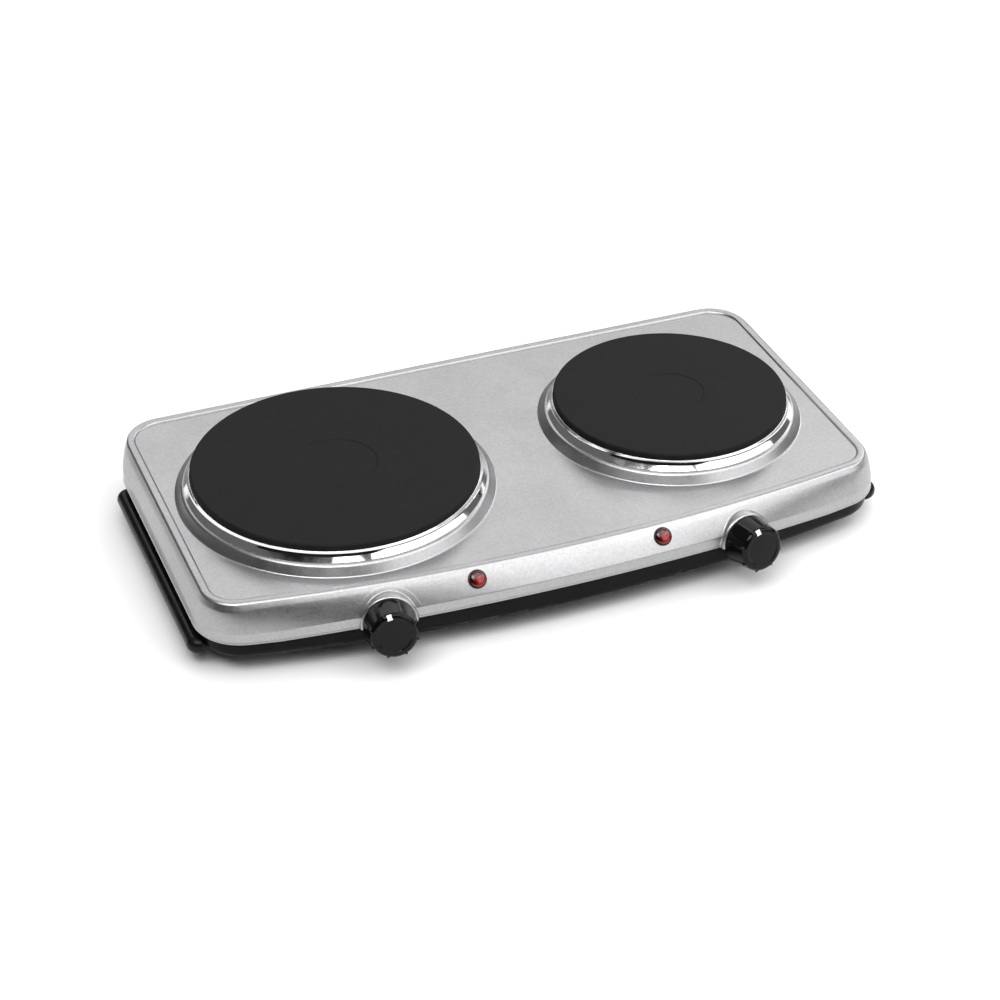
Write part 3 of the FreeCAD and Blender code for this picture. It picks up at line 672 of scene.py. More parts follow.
# ------------------------------------------------------------------ outline of the body
@dataclass(frozen=True)
class Outline:
    """A rounded rectangle in plan whose front side is a long shallow arc."""

    half_width: float
    back: float
    front: float
    bow_r: float
    back_r: float
    front_r: float

    FRONT_STEPS = 100
    SIDE_STEPS = 20
    BACK_STEPS = 192
    CORNER_STEPS = 28

    def inset(self, by: float) -> "Outline":
        """The same outline, further in all round; a negative value grows it."""
        return Outline(self.half_width - by, self.back - by, self.front + by,
                       self.bow_r - by, self.back_r - by, self.front_r - by)

    def front_corner(self) -> tuple[float, float, float]:
        """Centre of the right front corner and the bow's half angle."""
        bow_y = self.front + self.bow_r
        x = self.half_width - self.front_r
        y = bow_y - math.sqrt((self.bow_r - self.front_r) ** 2 - x ** 2)
        return x, y, math.atan2(x, bow_y - y)

    def points(self) -> list[tuple[float, float, float, float]]:
        """Points once round, seen from above against the clock from the left end of the bow.

        Returns:
            Each point's X and Y and its outward direction's X and Y.
        """
        corner_x, corner_y, lean = self.front_corner()
        bow_y = self.front + self.bow_r
        back_x, back_y = self.half_width - self.back_r, self.back - self.back_r
        half = math.pi / 2
        found = []

        def arc(x: float, y: float, radius: float, start: float, stop: float, steps: int) -> None:
            """Add an arc's points but the last; angles are from +X."""
            for step in range(steps):
                angle = start + (stop - start) * step / steps
                across, along = math.cos(angle), math.sin(angle)
                found.append((x + radius * across, y + radius * along, across, along))

        def line(start: Row, stop: Row, out: Row, steps: int) -> None:
            """Add a straight side's points but the last."""
            for step in range(steps):
                share = step / steps
                found.append((start[0] + (stop[0] - start[0]) * share,
                              start[1] + (stop[1] - start[1]) * share, *out))

        wide = self.half_width
        arc(0, bow_y, self.bow_r, -half - lean, -half + lean, self.FRONT_STEPS)
        arc(corner_x, corner_y, self.front_r, -half + lean, 0, self.CORNER_STEPS)
        line((wide, corner_y), (wide, back_y), (1, 0), self.SIDE_STEPS)
        arc(back_x, back_y, self.back_r, 0, half, self.CORNER_STEPS)
        line((back_x, self.back), (-back_x, self.back), (0, 1), self.BACK_STEPS)
        arc(-back_x, back_y, self.back_r, half, math.pi, self.CORNER_STEPS)
        line((-wide, back_y), (-wide, corner_y), (-1, 0), self.SIDE_STEPS)
        arc(-corner_x, corner_y, self.front_r, -math.pi, -half - lean, self.CORNER_STEPS)
        return found

    def distance(self, x: float, y: float) -> float:
        """How far a point lies outside the outline, or under zero inside it."""
        x = abs(x)
        corner_x, corner_y, lean = self.front_corner()
        back_x, back_y = self.half_width - self.back_r, self.back - self.back_r
        if y > back_y and x > back_x:
            return math.hypot(x - back_x, y - back_y) - self.back_r
        if y >= corner_y:
            return max(x - self.half_width, y - self.back)
        if math.atan2(x - corner_x, corner_y - y) > lean:
            return math.hypot(x - corner_x, y - corner_y) - self.front_r
        return math.hypot(x, self.front + self.bow_r - y) - self.bow_r


# ------------------------------------------------------------------ deck
@dataclass(frozen=True)
class Control:
    """Where a knob stands: its axis leaves the boss, turned outward and tilted up."""

    side: int
    x: float = 120.0
    y: float = -126.6
    z: float = 30.0
    turn: float = 9.0
    tilt: float = 11.0

    def axis(self) -> Vector:
        """Direction out along the knob's axis."""
        return heading(self.turn * self.side, self.tilt)

    def place(self) -> Matrix:
        """From the control's own frame in millimetres, +Z out and +Y up, to the maker's frame."""
        out = self.axis()
        across = Vector((0, 0, 1)).cross(out).normalized()
        turned_to = Matrix((across, out.cross(across), out)).transposed().to_4x4()
        return Matrix.Translation((self.x * self.side, self.y, self.z)) @ turned_to


@dataclass(frozen=True)
class Foot:
    """Where the slope meets the skirt at one column, and how far the slope leans over there."""

    x: float
    y: float
    out_x: float
    out_y: float
    lean: float
    z: float

    def at(self, out: float, z: float) -> Vector:
        """Point at a distance outward from the skirt's outline, at a height."""
        return spot(self.x + self.out_x * out, self.y + self.out_y * out, z)


@dataclass
class Deck:
    """Pressed steel deck: sunk middle, rim, rolled slopes, skirt, two collars and two bosses.

    slope_start is the slope's fall per millimetre where it leaves the rim, and the two strips are how far
    over the skirt's lower edge it ends.
    """

    controls: Sequence[Control]
    plates: Sequence["HotPlate"]
    sheet: float = 0.8
    skirt: Outline = Outline(230.0, 121.5, -131.3, 1000.0, 38.0, 32.0)
    rim: Outline = Outline(224.0, 118.0, -119.5, 1250.0, 26.0, 22.0)
    rim_top: float = 52.0
    pan_top: float = 50.6
    rim_width: float = 5.0
    rim_bend: float = 2.6
    edge_reach: float = 2.4
    slope_start: float = 0.95
    front_strip: float = 7.6
    side_strip: float = 10.6
    strip_grows_from: float = -95.0
    strip_grows_over: float = 60.0
    crease_r: float = 2.0
    crease_blend: float = 0.56
    skirt_bottom: float = 26.0
    arch_rise: float = 4.8
    arch_half: float = 185.0
    bush_x: float = 150.0
    bush_z: float = 22.0
    notch_r: float = 8.2
    collar_rise: float = 6.8
    collar_foot: float = 10.0
    collar_crest: float = 5.6
    collar_gap: float = 1.7
    boss_r: float = 18.5
    boss_edge_r: float = 1.5
    boss_blend: float = 1.4
    boss_hole_r: float = 19.5
    boss_sunk_r: float = 22.5
    boss_rings: Sequence[float] = (
        12.0, 15.5, 16.6, 17.0, 17.3, 17.6, 17.9, 18.1, 18.25, 18.4, 18.55, 18.7, 18.85, 19.0, 19.2,
        19.4, 19.6, 19.9, 20.2, 20.6, 21.1, 21.7, 22.3,
    )
    hem: Sequence[Row] = (
        (0, 2.2), (0.03, 1.7), (0.16, 1.3), (0.3, 0.95), (0.36, 0.6), (0.3, 0.2), (0.12, 0),
    )

    EDGE_STEPS = 7
    SLOPE_STEPS = 9
    CREASE_STEPS = 6
    SKIRT_SHARES = (0.3, 0.7)
    BOSS_COLUMNS = 200

    def hem_edge(self, x: float, y: float) -> float:
        """Height of the hem, which has a round notch over the cable bush."""
        off = abs(x - self.bush_x)
        if y < self.skirt.back / 2 or off > self.notch_r:
            return self.lower_edge(x, y)
        return max(self.skirt_bottom, self.bush_z + math.sqrt(self.notch_r ** 2 - off ** 2))

    def fall(self, x: float, y: float) -> tuple[float, float]:
        """How far the slope has fallen below the rim at a point, and how steep it is there.

        Args:
            x: The point's X.
            y: The point's Y, in plan.

        Returns:
            The fall in millimetres and the fall per millimetre outward.
        """
        reach = self.rim.distance(x, y)
        run = max(reach - self.skirt.distance(x, y), 1.0)
        share = min(max((y - self.strip_grows_from) / self.strip_grows_over, 0.0), 1.0)
        strip = self.front_strip + (self.side_strip - self.front_strip) * share * share * (3 - 2 * share)
        whole = self.rim_top - self.lower_edge(x, y) - strip
        part = max(reach, 0.0) / run
        gain = whole - self.slope_start * run
        return self.slope_start * reach + gain * part * part, self.slope_start + 2 * gain * part / run

    def lower_edge(self, x: float, y: float) -> float:
        """Height of the skirt's lower edge, which rises in a long arch across the front."""
        if y > 0:
            return self.skirt_bottom
        radius = (self.arch_half ** 2 + self.arch_rise ** 2) / (2 * self.arch_rise)
        return self.skirt_bottom + max(0.0, self.arch_rise - x ** 2 / (2 * radius))

    def outside(self, x: float, y: float, z: float) -> float:
        """How far a point lies outside the panel and the skirt, or under zero inside them."""
        fallen, steep = self.fall(x, y)
        over = (z - self.rim_top + fallen) * math.cos(math.atan(steep))
        return smooth_max(self.skirt.distance(x, y), over, self.crease_blend)

    def rim_rings(self) -> list[list[Vector]]:
        """Rings from the sunk middle up the step and over the flat rim."""
        profile = rounded([
            (self.rim_width + 1.6, self.pan_top, 0), (self.rim_width + 0.5, self.pan_top, 0.25),
            (self.rim_width - 0.3, self.rim_top, 1.7), (self.rim_bend, self.rim_top, 0),
        ])
        return [[spot(x, y, z) for x, y, _, _ in self.rim.inset(inset).points()] for inset, z in profile]

    def edge_rings(self) -> tuple[list[Row], list[list[Vector]]]:
        """Round the edge where the rim turns into the slope.

        Returns:
            Where the slope starts in plan, column by column, and the edge's rings.
        """
        starts, edges = [], []
        for (x, y, out_x, out_y), (foot_x, foot_y, _, _) in zip(self.rim.points(), self.skirt.points()):
            reach = min(self.edge_reach, 0.4 * self.rim.distance(foot_x, foot_y))
            start_x, start_y = x + out_x * reach, y + out_y * reach
            starts.append((start_x, start_y))
            lean = math.atan(self.fall(start_x, start_y)[0] / reach)
            bend = min(self.rim_bend, 0.85 * reach / math.tan(lean / 2))
            edge = []
            for step in range(self.EDGE_STEPS + 1):
                angle = lean * step / self.EDGE_STEPS
                out = bend * (math.sin(angle) - math.tan(lean / 2))
                z = self.rim_top + bend * (math.cos(angle) - 1)
                edge.append(spot(x + out_x * out, y + out_y * out, z))
            edges.append(edge)
        return starts, [list(ring) for ring in zip(*edges)]

    def feet(self) -> list[Foot]:
        """Find where the slope meets the skirt, column by column."""
        found = []
        for x, y, out_x, out_y in self.skirt.points():
            fallen, steep = self.fall(x, y)
            lean = math.atan(steep)
            sink = self.crease_r * math.tan((math.pi / 2 - lean) / 2)
            found.append(Foot(x, y, out_x, out_y, lean, self.rim_top - fallen - sink))
        return found

    def slope_rings(self, starts: Sequence[Row], feet: Sequence[Foot]) -> list[list[Vector]]:
        """Rings down the slope to the crease.

        Args:
            starts: Where the slope starts in plan.
            feet: Where it meets the skirt.

        Returns:
            The rings.
        """
        rings = []
        for step in range(self.SLOPE_STEPS):
            ring = []
            for (x, y), foot in zip(starts, feet):
                inset = self.crease_r * (1 - math.sin(foot.lean))
                along_x = x + (foot.x - foot.out_x * inset - x) * step / self.SLOPE_STEPS
                along_y = y + (foot.y - foot.out_y * inset - y) * step / self.SLOPE_STEPS
                ring.append(spot(along_x, along_y, self.rim_top - self.fall(along_x, along_y)[0]))
            rings.append(ring)
        return rings

    def skirt_rings(self, feet: Sequence[Foot]) -> list[list[Vector]]:
        """Rings round the crease, down the skirt and round its rolled hem.

        Args:
            feet: Where the slope meets the skirt.

        Returns:
            The rings.
        """
        rings = []
        for step in range(self.CREASE_STEPS + 1):
            ring = []
            for foot in feet:
                angle = foot.lean + (math.pi / 2 - foot.lean) * step / self.CREASE_STEPS
                out = self.crease_r * (math.sin(angle) - 1)
                ring.append(foot.at(out, foot.z + self.crease_r * math.cos(angle)))
            rings.append(ring)
        hem_top = self.hem[0][1]
        for share in self.SKIRT_SHARES:
            rings.append([foot.at(0, foot.z + (self.lower_edge(foot.x, foot.y) + hem_top - foot.z) * share)
                          for foot in feet])
        for out, rise in self.hem:
            rings.append([foot.at(out, self.hem_edge(foot.x, foot.y) + rise) for foot in feet])
        return rings

    def border_rings(self) -> list[list[Vector]]:
        """Rings from the sunk middle out over the rim and the slope and down the skirt."""
        starts, edge = self.edge_rings()
        feet = self.feet()
        return [*self.rim_rings(), *edge, *self.slope_rings(starts, feet), *self.skirt_rings(feet)]

    def well(self, plate: "HotPlate") -> Piece:
        """Raised collar round a plate, from the flat deck up over the crest and down inside."""
        r, low, top = plate.radius, self.pan_top, self.pan_top + self.collar_rise
        profile = rounded([
            (r + self.collar_foot + 1.2, low, 0), (r + self.collar_foot, low, 1.5),
            (r + self.collar_crest, top, 3.2), (r + self.collar_gap, top, 0.6),
            (r + self.collar_gap, low, 0),
        ])
        return turned("well", profile, plate.axis(), 192)

    def surface_along(self, start: Vector, out: Vector) -> float:
        """Find the surface of the panel and the skirt along a line, by halving.

        Args:
            start: A point of the maker's frame.
            out: Direction to look in, from inside to outside.

        Returns:
            How far the surface lies from the point.
        """
        low, high = -30.0, 12.0
        for _ in range(26):
            middle = (low + high) / 2
            if self.outside(*(start + out * middle)) < 0:
                low = middle
            else:
                high = middle
        return low

    def boss_face(self, radius: float) -> float:
        """Height of the boss's own shape at a radius: flat, then a rounded edge, then a steep side."""
        edge_start, edge_half = self.boss_r - 1.9, self.boss_edge_r * 0.95
        over = min(max(radius - edge_start, 0.0), edge_half)
        face = math.sqrt(self.boss_edge_r ** 2 - over ** 2) - self.boss_edge_r
        return face - max(radius - edge_start - edge_half, 0.0) * 4.0

    def boss(self, control: Control) -> Piece:
        """Round pressing behind a knob, which flows into the panel and is cut off at the lower edge."""
        place = control.place()
        out = control.axis()
        rings = []
        for radius in (*self.boss_rings, self.boss_sunk_r):
            lift = -0.08 if radius == self.boss_sunk_r else 0.02
            ring = []
            for column in range(self.BOSS_COLUMNS):
                angle = math.tau * column / self.BOSS_COLUMNS
                start = place @ Vector((radius * math.cos(angle), radius * math.sin(angle), 0))
                surface = self.surface_along(start, out)
                height = smooth_max(self.boss_face(radius), surface, self.boss_blend) + lift
                ring.append(spot(*(start + out * height)))
            rings.append(ring)
        piece = draw_rings("boss", rings, Ends.CAPPED, Ends.OPEN)
        edge_x = control.x * control.side
        rise = self.lower_edge(edge_x + 1, -1) - self.lower_edge(edge_x, -1)
        with editing(piece):
            bpy.ops.mesh.select_all(action="SELECT")
            bpy.ops.mesh.bisect(plane_co=spot(edge_x, control.y, self.lower_edge(edge_x, -1)),
                                plane_no=(-rise, 0, 1), clear_inner=True)
        return piece

    def build(self) -> Piece:
        """Draw the border, the wells and the bosses, and fill the flat middle between them."""
        border = draw_rings("deck_sheet", self.border_rings(), Ends.OPEN, Ends.OPEN)
        with editing(border):
            for control in self.controls:
                back = to_frame(control.place()).inverted()
                pick(border, lambda vert: (back @ vert.co).xy.length < self.boss_hole_r
                     and (back @ vert.co).z > -self.boss_hole_r)
                bpy.ops.mesh.delete(type="FACE")
        piece = join([border, *(self.well(plate) for plate in self.plates)])
        level = self.pan_top * MM
        with editing(piece):
            mesh = bmesh.from_edit_mesh(piece.data)
            mesh.select_mode = {"EDGE"}
            for edge in mesh.edges:
                flat = all(abs(vert.co.z - level) < 1e-6 for vert in edge.verts)
                edge.select_set(edge.is_boundary and flat)
            for plate in self.plates:
                hub = plate.axis() @ Vector((0, 0, self.pan_top))
                for edge in mesh.edges:
                    if edge.select and (edge.verts[0].co - hub).length < (plate.radius + 5) * MM:
                        edge.select_set(False)
            bmesh.update_edit_mesh(piece.data)
            bpy.ops.mesh.fill(use_beauty=True)
            bpy.ops.mesh.select_all(action="SELECT")
            bpy.ops.mesh.normals_make_consistent(inside=False)
        piece = join([piece, *(self.boss(control) for control in self.controls)])
        add_modifier(piece, "SOLIDIFY", thickness=self.sheet * MM, offset=-1.0)
        smooth(piece, 50)
        finish_piece(piece, "housing", DECK_STEEL, "deck_steel", "deck")
        return piece


# ------------------------------------------------------------------ hot plates
@dataclass
class HotPlate:
    """One cast plate and the bright overflow ring round it."""

    size: str
    columns: int = 224
    recess_share: float = 0.29
    recess_depth: float = 0.4
    radius: float = field(init=False)
    centre: float = field(init=False)
    top: float = field(init=False)
    bottom: float = field(init=False)
    ring_foot: float = field(init=False)
    ring_top: float = field(init=False)
    ring_reach: float = field(init=False)

    def __post_init__(self) -> None:
        """Read the sizes of the plate and its ring from the frame."""
        low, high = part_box(f"{self.size}_plate")
        self.radius = (high.x - low.x) / 2 / MM
        self.centre = (low.x + high.x) / 2 / MM
        self.top = high.z / MM
        self.bottom = low.z / MM
        ring_low, ring_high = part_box(f"{self.size}_overflow_ring")
        self.ring_foot = ring_low.z / MM
        self.ring_top = ring_high.z / MM
        self.ring_reach = (ring_high.x - ring_low.x) / 2 / MM - self.radius

    def axis(self) -> Matrix:
        """From the plate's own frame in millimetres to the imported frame."""
        return to_frame(Matrix.Translation((self.centre, 0, 0)))

    def casting(self) -> Piece:
        """Cast plate: shallow round recess, rounded rim, straight side, ribbed underside."""
        r, top, low = self.radius, self.top, self.bottom
        recess, floor = r * self.recess_share, top - self.recess_depth
        profile = rounded([
            (0.5, floor, 0), (recess, floor, 0.5), (recess + 0.7, top, 0.5), (r, top, 1.7),
            (r, low, 0.6), (r * 0.93, low, 0.4), (r * 0.93, low + 0.8, 0.3), (r * 0.42, low + 0.8, 0.3),
            (r * 0.42, low, 0.4), (4.0, low, 0),
        ])
        piece = turned(
            f"{self.size}_casting", profile, self.axis(), self.columns, Ends.CAPPED, Ends.CAPPED
        )
        smooth(piece)
        centre = self.axis() @ Vector((0, 0, self.top))
        iron = CastIron(
            f"{self.size}_cast_iron", (0.010, 0.010, 0.010), (0.026, 0.026, 0.026),
            gloss=(0.5, 0.66), grain=0.7, depth=0.012, specular=0.15, centre=tuple(centre),
        )
        finish_piece(piece, "housing", iron, "cast_iron", f"{self.size}_plate")
        return piece

    def overflow_ring(self) -> Piece:
        """Polished ring that flares from the plate's side down to the collar."""
        r, top, foot, reach = self.radius, self.ring_top, self.ring_foot, self.ring_reach
        profile = rounded([
            (r + 0.06, top - 0.8, 0), (r + 0.1, top - 0.25, 0.1), (r + 0.6, top, 0.25),
            (r + 1.3, top - 2.6, 5.0), (r + reach, foot + 0.35, 0.2), (r + reach, foot, 0.1),
            (r + reach - 1.2, foot, 0.2),
            (r + 0.5, top - 2.9, 4.0), (r + 0.06, top - 0.8, 0),
        ], 8.0)
        piece = turned(f"{self.size}_bright_ring", profile, self.axis(), self.columns)
        smooth(piece)
        finish_piece(piece, "housing", RING_STEEL, "ring_steel", f"{self.size}_overflow_ring")
        return piece


# ------------------------------------------------------------------ knobs
@dataclass
class Knob:
    """Ribbed control knob with a white mark at its top."""

    control: Control
    name: str
    columns: int = 224
    gap: float = 0.5
    length: float = 17.0
    back_r: float = 16.8
    front_r: float = 14.4
    ribs: int = 8
    rib_turn: float = 27.0
    rib_rise: float = 0.55
    rib_half: float = 1.05
    rib_rows: int = 14
    hollow_r: float = 14.6
    hub_r: float = 5.0
    bore_r: float = 3.02
    hub_back: float = 4.4
    dish_r: float = 10.9
    round_from: float = 2.2
    mark_angle: float = 101.0
    mark_half: float = 1.5

    def swell(self, angle: float, radius: float, height: float) -> float:
        """Extra radius of the ribs, which end in small nubs just behind the face."""
        front = self.gap + self.length
        if radius < self.front_r - 1.7 or height > front - 0.2:
            return 0.0
        pitch = math.tau / self.ribs
        off = (angle - math.radians(self.rib_turn) + pitch / 2) % pitch - pitch / 2
        across = abs(off) * radius / self.rib_half
        if across >= 1:
            return 0.0
        start = min(max((height - self.gap - 0.6) / 1.6, 0.0), 1.0)
        nub = max(0.0, 1 - abs(height - (front - 2.0)) / 1.5)
        stop = min(max((front - 0.2 - height) / 1.2, 0.0), 1.0)
        rise = self.rib_rise * start + 0.75 * nub
        return rise * stop * math.cos(across * math.pi / 2) ** 1.2

    def build(self) -> Piece:
        """Draw the knob: skirt, face with a shallow dish, hollow back with its hub."""
        back, front = self.gap, self.gap + self.length
        taper = (self.back_r - self.front_r) / self.length
        side_end = front - self.round_from
        shell = rounded([
            (self.hollow_r, back, 0), (self.back_r, back, 0.5), (self.front_r + taper, front - 1, 0),
        ])[:-1]
        side_start = shell[-1][1]
        for row in range(1, self.rib_rows):
            z = side_start + (side_end - side_start) * row / self.rib_rows
            shell.append((self.back_r - taper * (z - back), z))
        face = rounded([
            (self.back_r - taper * (side_end - back), side_end, 0), (self.front_r, front, 2.8),
            (self.dish_r, front, 0.2), (self.dish_r - 0.5, front - 0.35, 0.5), (0.4, front - 0.1, 0),
        ], 9.0)
        inside = rounded([
            (self.bore_r, front - 3.2, 0), (self.bore_r, self.hub_back, 0.2),
            (self.hub_r, self.hub_back, 0.3), (self.hub_r, front - 3.4, 0.3),
            (self.front_r - 2.4, front - 3.4, 0.8), (self.hollow_r, back, 0),
        ])
        profile = inside[:-1] + shell + face
        place = to_frame(self.control.place())
        piece = turned(
            f"{self.name}_grip", profile, place, self.columns, Ends.CAPPED, Ends.CAPPED, self.swell
        )
        smooth(piece, 45)
        piece.data.materials.append(KNOB_PLASTIC.material())
        piece.data.materials.append(MARK_PAINT.material())
        to_knob = place.inverted()
        for polygon in piece.data.polygons:
            where = to_knob @ polygon.center
            angle = math.degrees(math.atan2(where.y, where.x))
            off = abs(angle - self.mark_angle) * math.radians(1) * where.xy.length
            if off < self.mark_half and where.xy.length > self.dish_r and where.z > front - 1.3:
                polygon.material_index = 1
        finish_piece(piece, f"{self.name}_control", KNOB_PLASTIC, "knob_black", f"{self.name}_knob")
        return piece


# ------------------------------------------------------------------ pilot lamps
@dataclass
class Lamp:
    """Pilot lamp in the sloped panel: dark bezel and domed red lens."""

    deck: Deck
    x: float
    name: str
    drop_in_plan: float = 5.5
    bezel_r: float = 5.9
    sleeve_r: float = 4.3
    sleeve_back: float = -9.0
    lens_r: float = 5.15
    lens_base: float = 0.8
    dome_height: float = 1.9
    stem_r: float = 3.6

    COLUMNS = 96
    DOME_ANGLES = (0, 8, 16, 26, 36, 46, 56, 66, 76, 86)

    def place(self) -> Matrix:
        """From the lamp's own frame in millimetres, +Z out of the panel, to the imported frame."""
        rim = self.deck.rim
        bow = rim.bow_r - math.sqrt(rim.bow_r ** 2 - self.x ** 2)
        y = rim.front - self.drop_in_plan + bow
        fallen, steep = self.deck.fall(self.x, y)
        z = self.deck.rim_top - fallen
        lean = math.atan(steep)
        return to_frame(Matrix.Translation((self.x, y, z)) @ Matrix.Rotation(lean, 4, "X"))

    def bezel(self) -> Piece:
        """Flat ring with rounded edges and a sleeve through the panel."""
        inner = self.sleeve_r - 0.5
        profile = rounded([
            (self.sleeve_r, self.sleeve_back, 0), (self.sleeve_r, 0.0, 0), (self.bezel_r, 0.05, 0.05),
            (self.bezel_r, 0.8, 0.4), (5.2, 1.0, 0.2), (5.0, 0.3, 0), (inner, 0.1, 0),
            (inner, self.sleeve_back, 0), (self.sleeve_r, self.sleeve_back, 0),
        ])
        piece = turned(f"{self.name}_bezel_ring", profile, self.place(), self.COLUMNS)
        smooth(piece)
        return piece

    def lens(self) -> Piece:
        """Domed lens with its stem."""
        dome = []
        for angle in map(math.radians, self.DOME_ANGLES):
            dome.append((self.lens_r * math.cos(angle), self.lens_base + self.dome_height * math.sin(angle)))
        profile = [(0.3, -4.0), (self.stem_r, -4.0), (self.stem_r, 0.35), (self.lens_r - 0.05, 0.4), *dome]
        piece = turned(
            f"{self.name}_lens", profile, self.place(), self.COLUMNS, Ends.CAPPED, Ends.CAPPED
        )
        smooth(piece)
        heart = self.place() @ Vector((0.9, -0.9, 2.0))
        glow = RedLens(
            f"{self.name}_lens_red", (0.030, 0.002, 0.002), (0.30, 0.008, 0.010),
            depth=0.05, centre=tuple(heart),
        )
        finish_piece(piece, "housing", glow, "lens_red", f"{self.name}_lamp_lens")
        return piece


# ------------------------------------------------------------------ handles
@dataclass
class SideHandle:
    """Moulded rail along one side of the base."""

    side: int
    name: str
    bottom: float = 9.4
    top: float = 20.4
    back: float = 93.0
    front: float = -90.0
    out: float = 236.0
    inner: float = 227.5
    end_r: float = 8.0
    edge_r: float = 5.2

    def build(self) -> Piece:
        """Start from a block, round its two outer ends, then its long edges."""
        size = (self.out - self.inner, self.back - self.front, self.top - self.bottom)
        middle = ((self.inner + self.out) / 2 * self.side, (self.back + self.front) / 2,
                  (self.top + self.bottom) / 2)
        deselect()
        bpy.ops.mesh.primitive_cube_add(size=1, location=spot(*middle))
        piece = bpy.context.object
        piece.name = f"{self.name}_rail"
        piece.scale = [side * MM for side in size]
        bpy.ops.object.transform_apply(location=True, rotation=True, scale=True)
        with editing(piece):
            self.pick_edges(piece, self.is_outer_end)
            bpy.ops.mesh.bevel(offset=self.end_r * MM, segments=12, affect="EDGES")
            self.pick_edges(piece, self.is_long_edge)
            bpy.ops.mesh.bevel(offset=self.edge_r * MM, segments=10, affect="EDGES")
        smooth(piece)
        finish_piece(piece, "housing", HANDLE_PLASTIC, "handle_black", f"{self.name}_handle")
        return piece

    def is_outer_end(self, edge: bmesh.types.BMEdge) -> bool:
        """Tell whether an edge is one of the two upright ones on the outer side."""
        first, second = (vert.co for vert in edge.verts)
        reach = (self.out - 0.5) * MM
        return abs(first.x) > reach and abs(second.x) > reach and abs(first.z - second.z) > 5 * MM

    def is_long_edge(self, edge: bmesh.types.BMEdge) -> bool:
        """Tell whether an edge borders the top or the bottom away from the inner side."""
        first, second = (vert.co for vert in edge.verts)
        inner = (self.inner + 0.1) * MM
        level = any(abs(first.z - z * MM) < 1e-6 for z in (self.bottom, self.top))
        return level and abs(first.z - second.z) < 1e-6 and max(abs(first.x), abs(second.x)) > inner

    @staticmethod
    def pick_edges(piece: Piece, wanted: Callable[[bmesh.types.BMEdge], bool]) -> None:
        """Select the edges that pass a test, in edit mode."""
        bpy.ops.mesh.select_all(action="DESELECT")
        bpy.ops.mesh.select_mode(type="EDGE")
        mesh = bmesh.from_edit_mesh(piece.data)
        for edge in mesh.edges:
            edge.select_set(wanted(edge))
        bmesh.update_edit_mesh(piece.data)


# ------------------------------------------------------------------ studio
@dataclass(frozen=True)
class Panel:
    """A flat light or board that faces the object: where it stands, its size and its brightness.

    The azimuth runs from the front (-Y) toward +X. Distance, width and height are in metres. Brightness
    is that of the panel's face, where 1 is the brightness of white; a board has none.
    """

    name: str
    azimuth: float
    rise: float
    distance: float
    width: float
    height: float
    strength: float = 0.0

    def place(self) -> Matrix:
        """The panel's place, with its own +Z away from the object."""
        away = heading(self.azimuth, self.rise)
        return Matrix.Translation(away * self.distance) @ away.to_track_quat("Z", "Y").to_matrix().to_4x4()


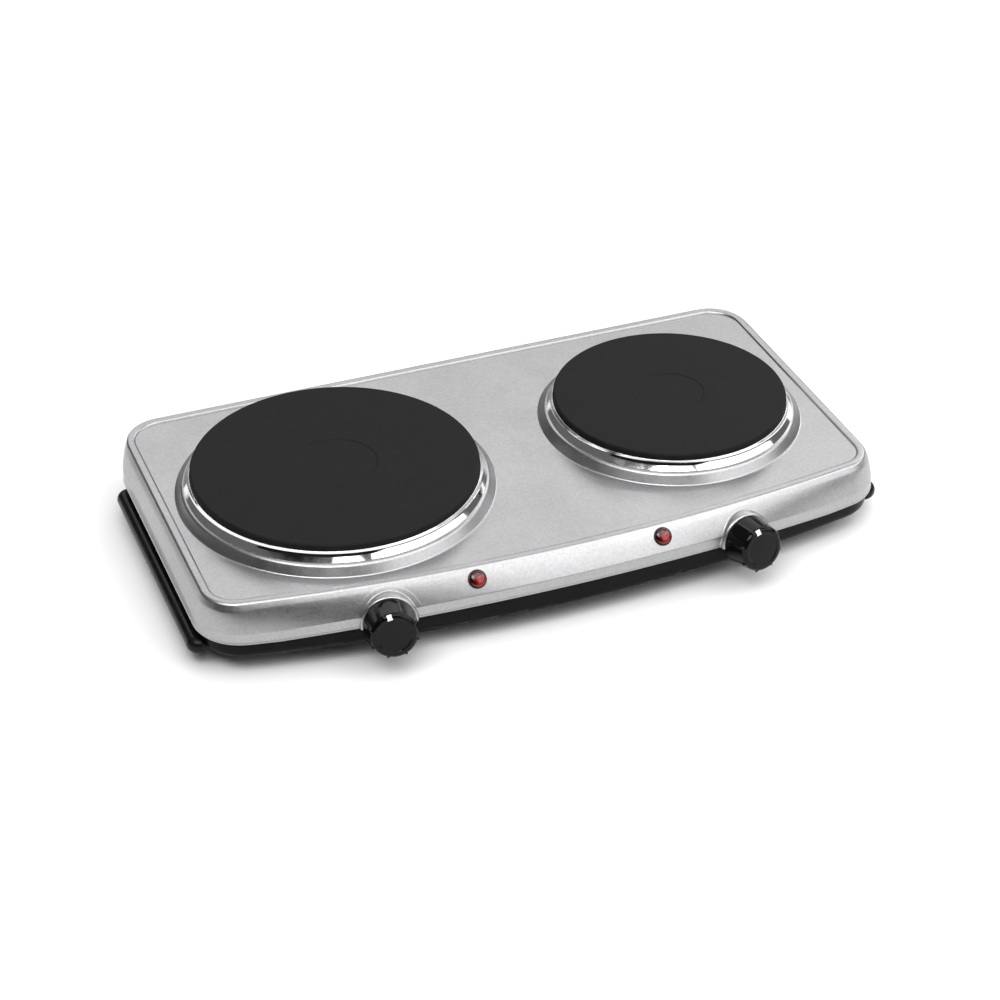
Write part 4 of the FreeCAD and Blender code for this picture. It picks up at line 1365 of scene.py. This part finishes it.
@dataclass
class Studio:
    """Pale floor, soft lights, one dark board and the camera."""

    lights: Sequence[Panel] = (
        Panel("back_wall", 160, 40, 3.2, 4.4, 1.9, 1.85),
        Panel("overhead", 0, 86, 2.6, 3.0, 2.2, 1.7),
        Panel("front_top", 20, 57, 3.0, 3.8, 1.6, 2.5),
        Panel("left_corner", -48, 55, 2.4, 1.7, 0.9, 6.0),
        Panel("right_front", 44, 30, 2.6, 3.0, 1.6, 2.3),
        Panel("right_side", 104, 30, 2.6, 3.0, 1.1, 2.2),
    )
    board: Panel = Panel("front_flag", -34, 18, 3.2, 5.6, 2.5)
    sky_strength: float = 0.22
    exposure: float = -0.62
    camera_from_plate: tuple[float, float, float] = (-391.8, -1282.0, 875.8)
    camera_yaw: float = 21.489
    camera_pitch: float = 34.108
    lens: float = 90.36

    def camera(self, plate: HotPlate) -> None:
        """Stand the camera at its place relative to the large plate's top."""
        data = bpy.data.cameras.new("camera")
        data.lens = self.lens
        data.sensor_width = 36.0
        data.clip_start, data.clip_end = 0.05, 50.0
        camera = bpy.data.objects.new("camera", data)
        bpy.context.scene.collection.objects.link(camera)
        x, y, z = self.camera_from_plate
        camera.location = spot(plate.centre + x, y, plate.top + z)
        camera.rotation_euler = (math.radians(90 - self.camera_pitch), 0, math.radians(-self.camera_yaw))
        bpy.context.scene.camera = camera

    def floor(self) -> None:
        """Plain pale floor."""
        deselect()
        bpy.ops.mesh.primitive_plane_add(size=12.0, location=(0, 0, 0))
        floor = bpy.context.object
        floor.name = "floor"
        made = Recipe("floor_white")
        made.set(Base_Color=(0.92, 0.92, 0.92, 1), Roughness=0.9, Specular_IOR_Level=0.1)
        floor.data.materials.append(made.material)

    def light(self, panel: Panel) -> None:
        """Hang one soft light, which shines along its own -Z."""
        data = bpy.data.lights.new(panel.name, "AREA")
        data.shape = "RECTANGLE"
        data.size, data.size_y = panel.width, panel.height
        data.energy = panel.strength * math.pi * panel.width * panel.height
        light = bpy.data.objects.new(panel.name, data)
        bpy.context.scene.collection.objects.link(light)
        light.matrix_world = panel.place()

    def flag(self, panel: Panel) -> None:
        """Stand one black board that keeps a part of the room dark."""
        deselect()
        bpy.ops.mesh.primitive_plane_add(size=1.0)
        board = bpy.context.object
        board.name = panel.name
        board.data.transform(panel.place() @ Matrix.Diagonal((panel.width, panel.height, 1, 1)))
        made = Recipe(f"{panel.name}_black")
        made.set(Base_Color=(0.01, 0.01, 0.01, 1), Roughness=0.9)
        board.data.materials.append(made.material)

    def build(self, plate: HotPlate) -> None:
        """Set up the camera, the floor, the sky and the lights."""
        self.camera(plate)
        self.floor()
        world = bpy.data.worlds.new("studio")
        world.use_nodes = True
        sky = world.node_tree.nodes["Background"]
        sky.inputs["Color"].default_value = (1, 1, 1, 1)
        sky.inputs["Strength"].default_value = self.sky_strength
        bpy.context.scene.world = world
        for panel in self.lights:
            self.light(panel)
        self.flag(self.board)
        view = bpy.context.scene.view_settings
        view.view_transform = "Standard"
        view.look = "Medium High Contrast"
        view.exposure = self.exposure


# ------------------------------------------------------------------ whole object
def dress_cad() -> None:
    """Give every CAD node that stays in view its finish."""
    for name, finish in CAD_FINISHES.items():
        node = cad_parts[name]
        node.data.materials.clear()
        node.data.materials.append(finish.material())
        LOG.info("%s: %s", name, finish.name)


def main() -> None:
    """Build everything in order."""
    logging.basicConfig(level=logging.INFO, format="%(message)s")
    plates = [HotPlate("large"), HotPlate("small")]
    Studio().build(plates[0])
    controls = [Control(-1), Control(1)]
    deck = Deck(controls, plates)
    deck.build()
    for plate in plates:
        plate.casting()
        plate.overflow_ring()
    for control, name in zip(controls, ("left", "right")):
        Knob(control, name).build()
        SideHandle(control.side, name).build()
    lamps = [Lamp(deck, -62.0, "left"), Lamp(deck, 62.0, "right")]
    for lamp in lamps:
        lamp.lens()
    bezels = join([lamp.bezel() for lamp in lamps])
    bezels.name = "lamp_bezel_rings"
    finish_piece(bezels, "housing", BEZEL_PLASTIC, "lens_red", "lamp_bezels")
    dress_cad()


if __name__ == "__main__":
    main()
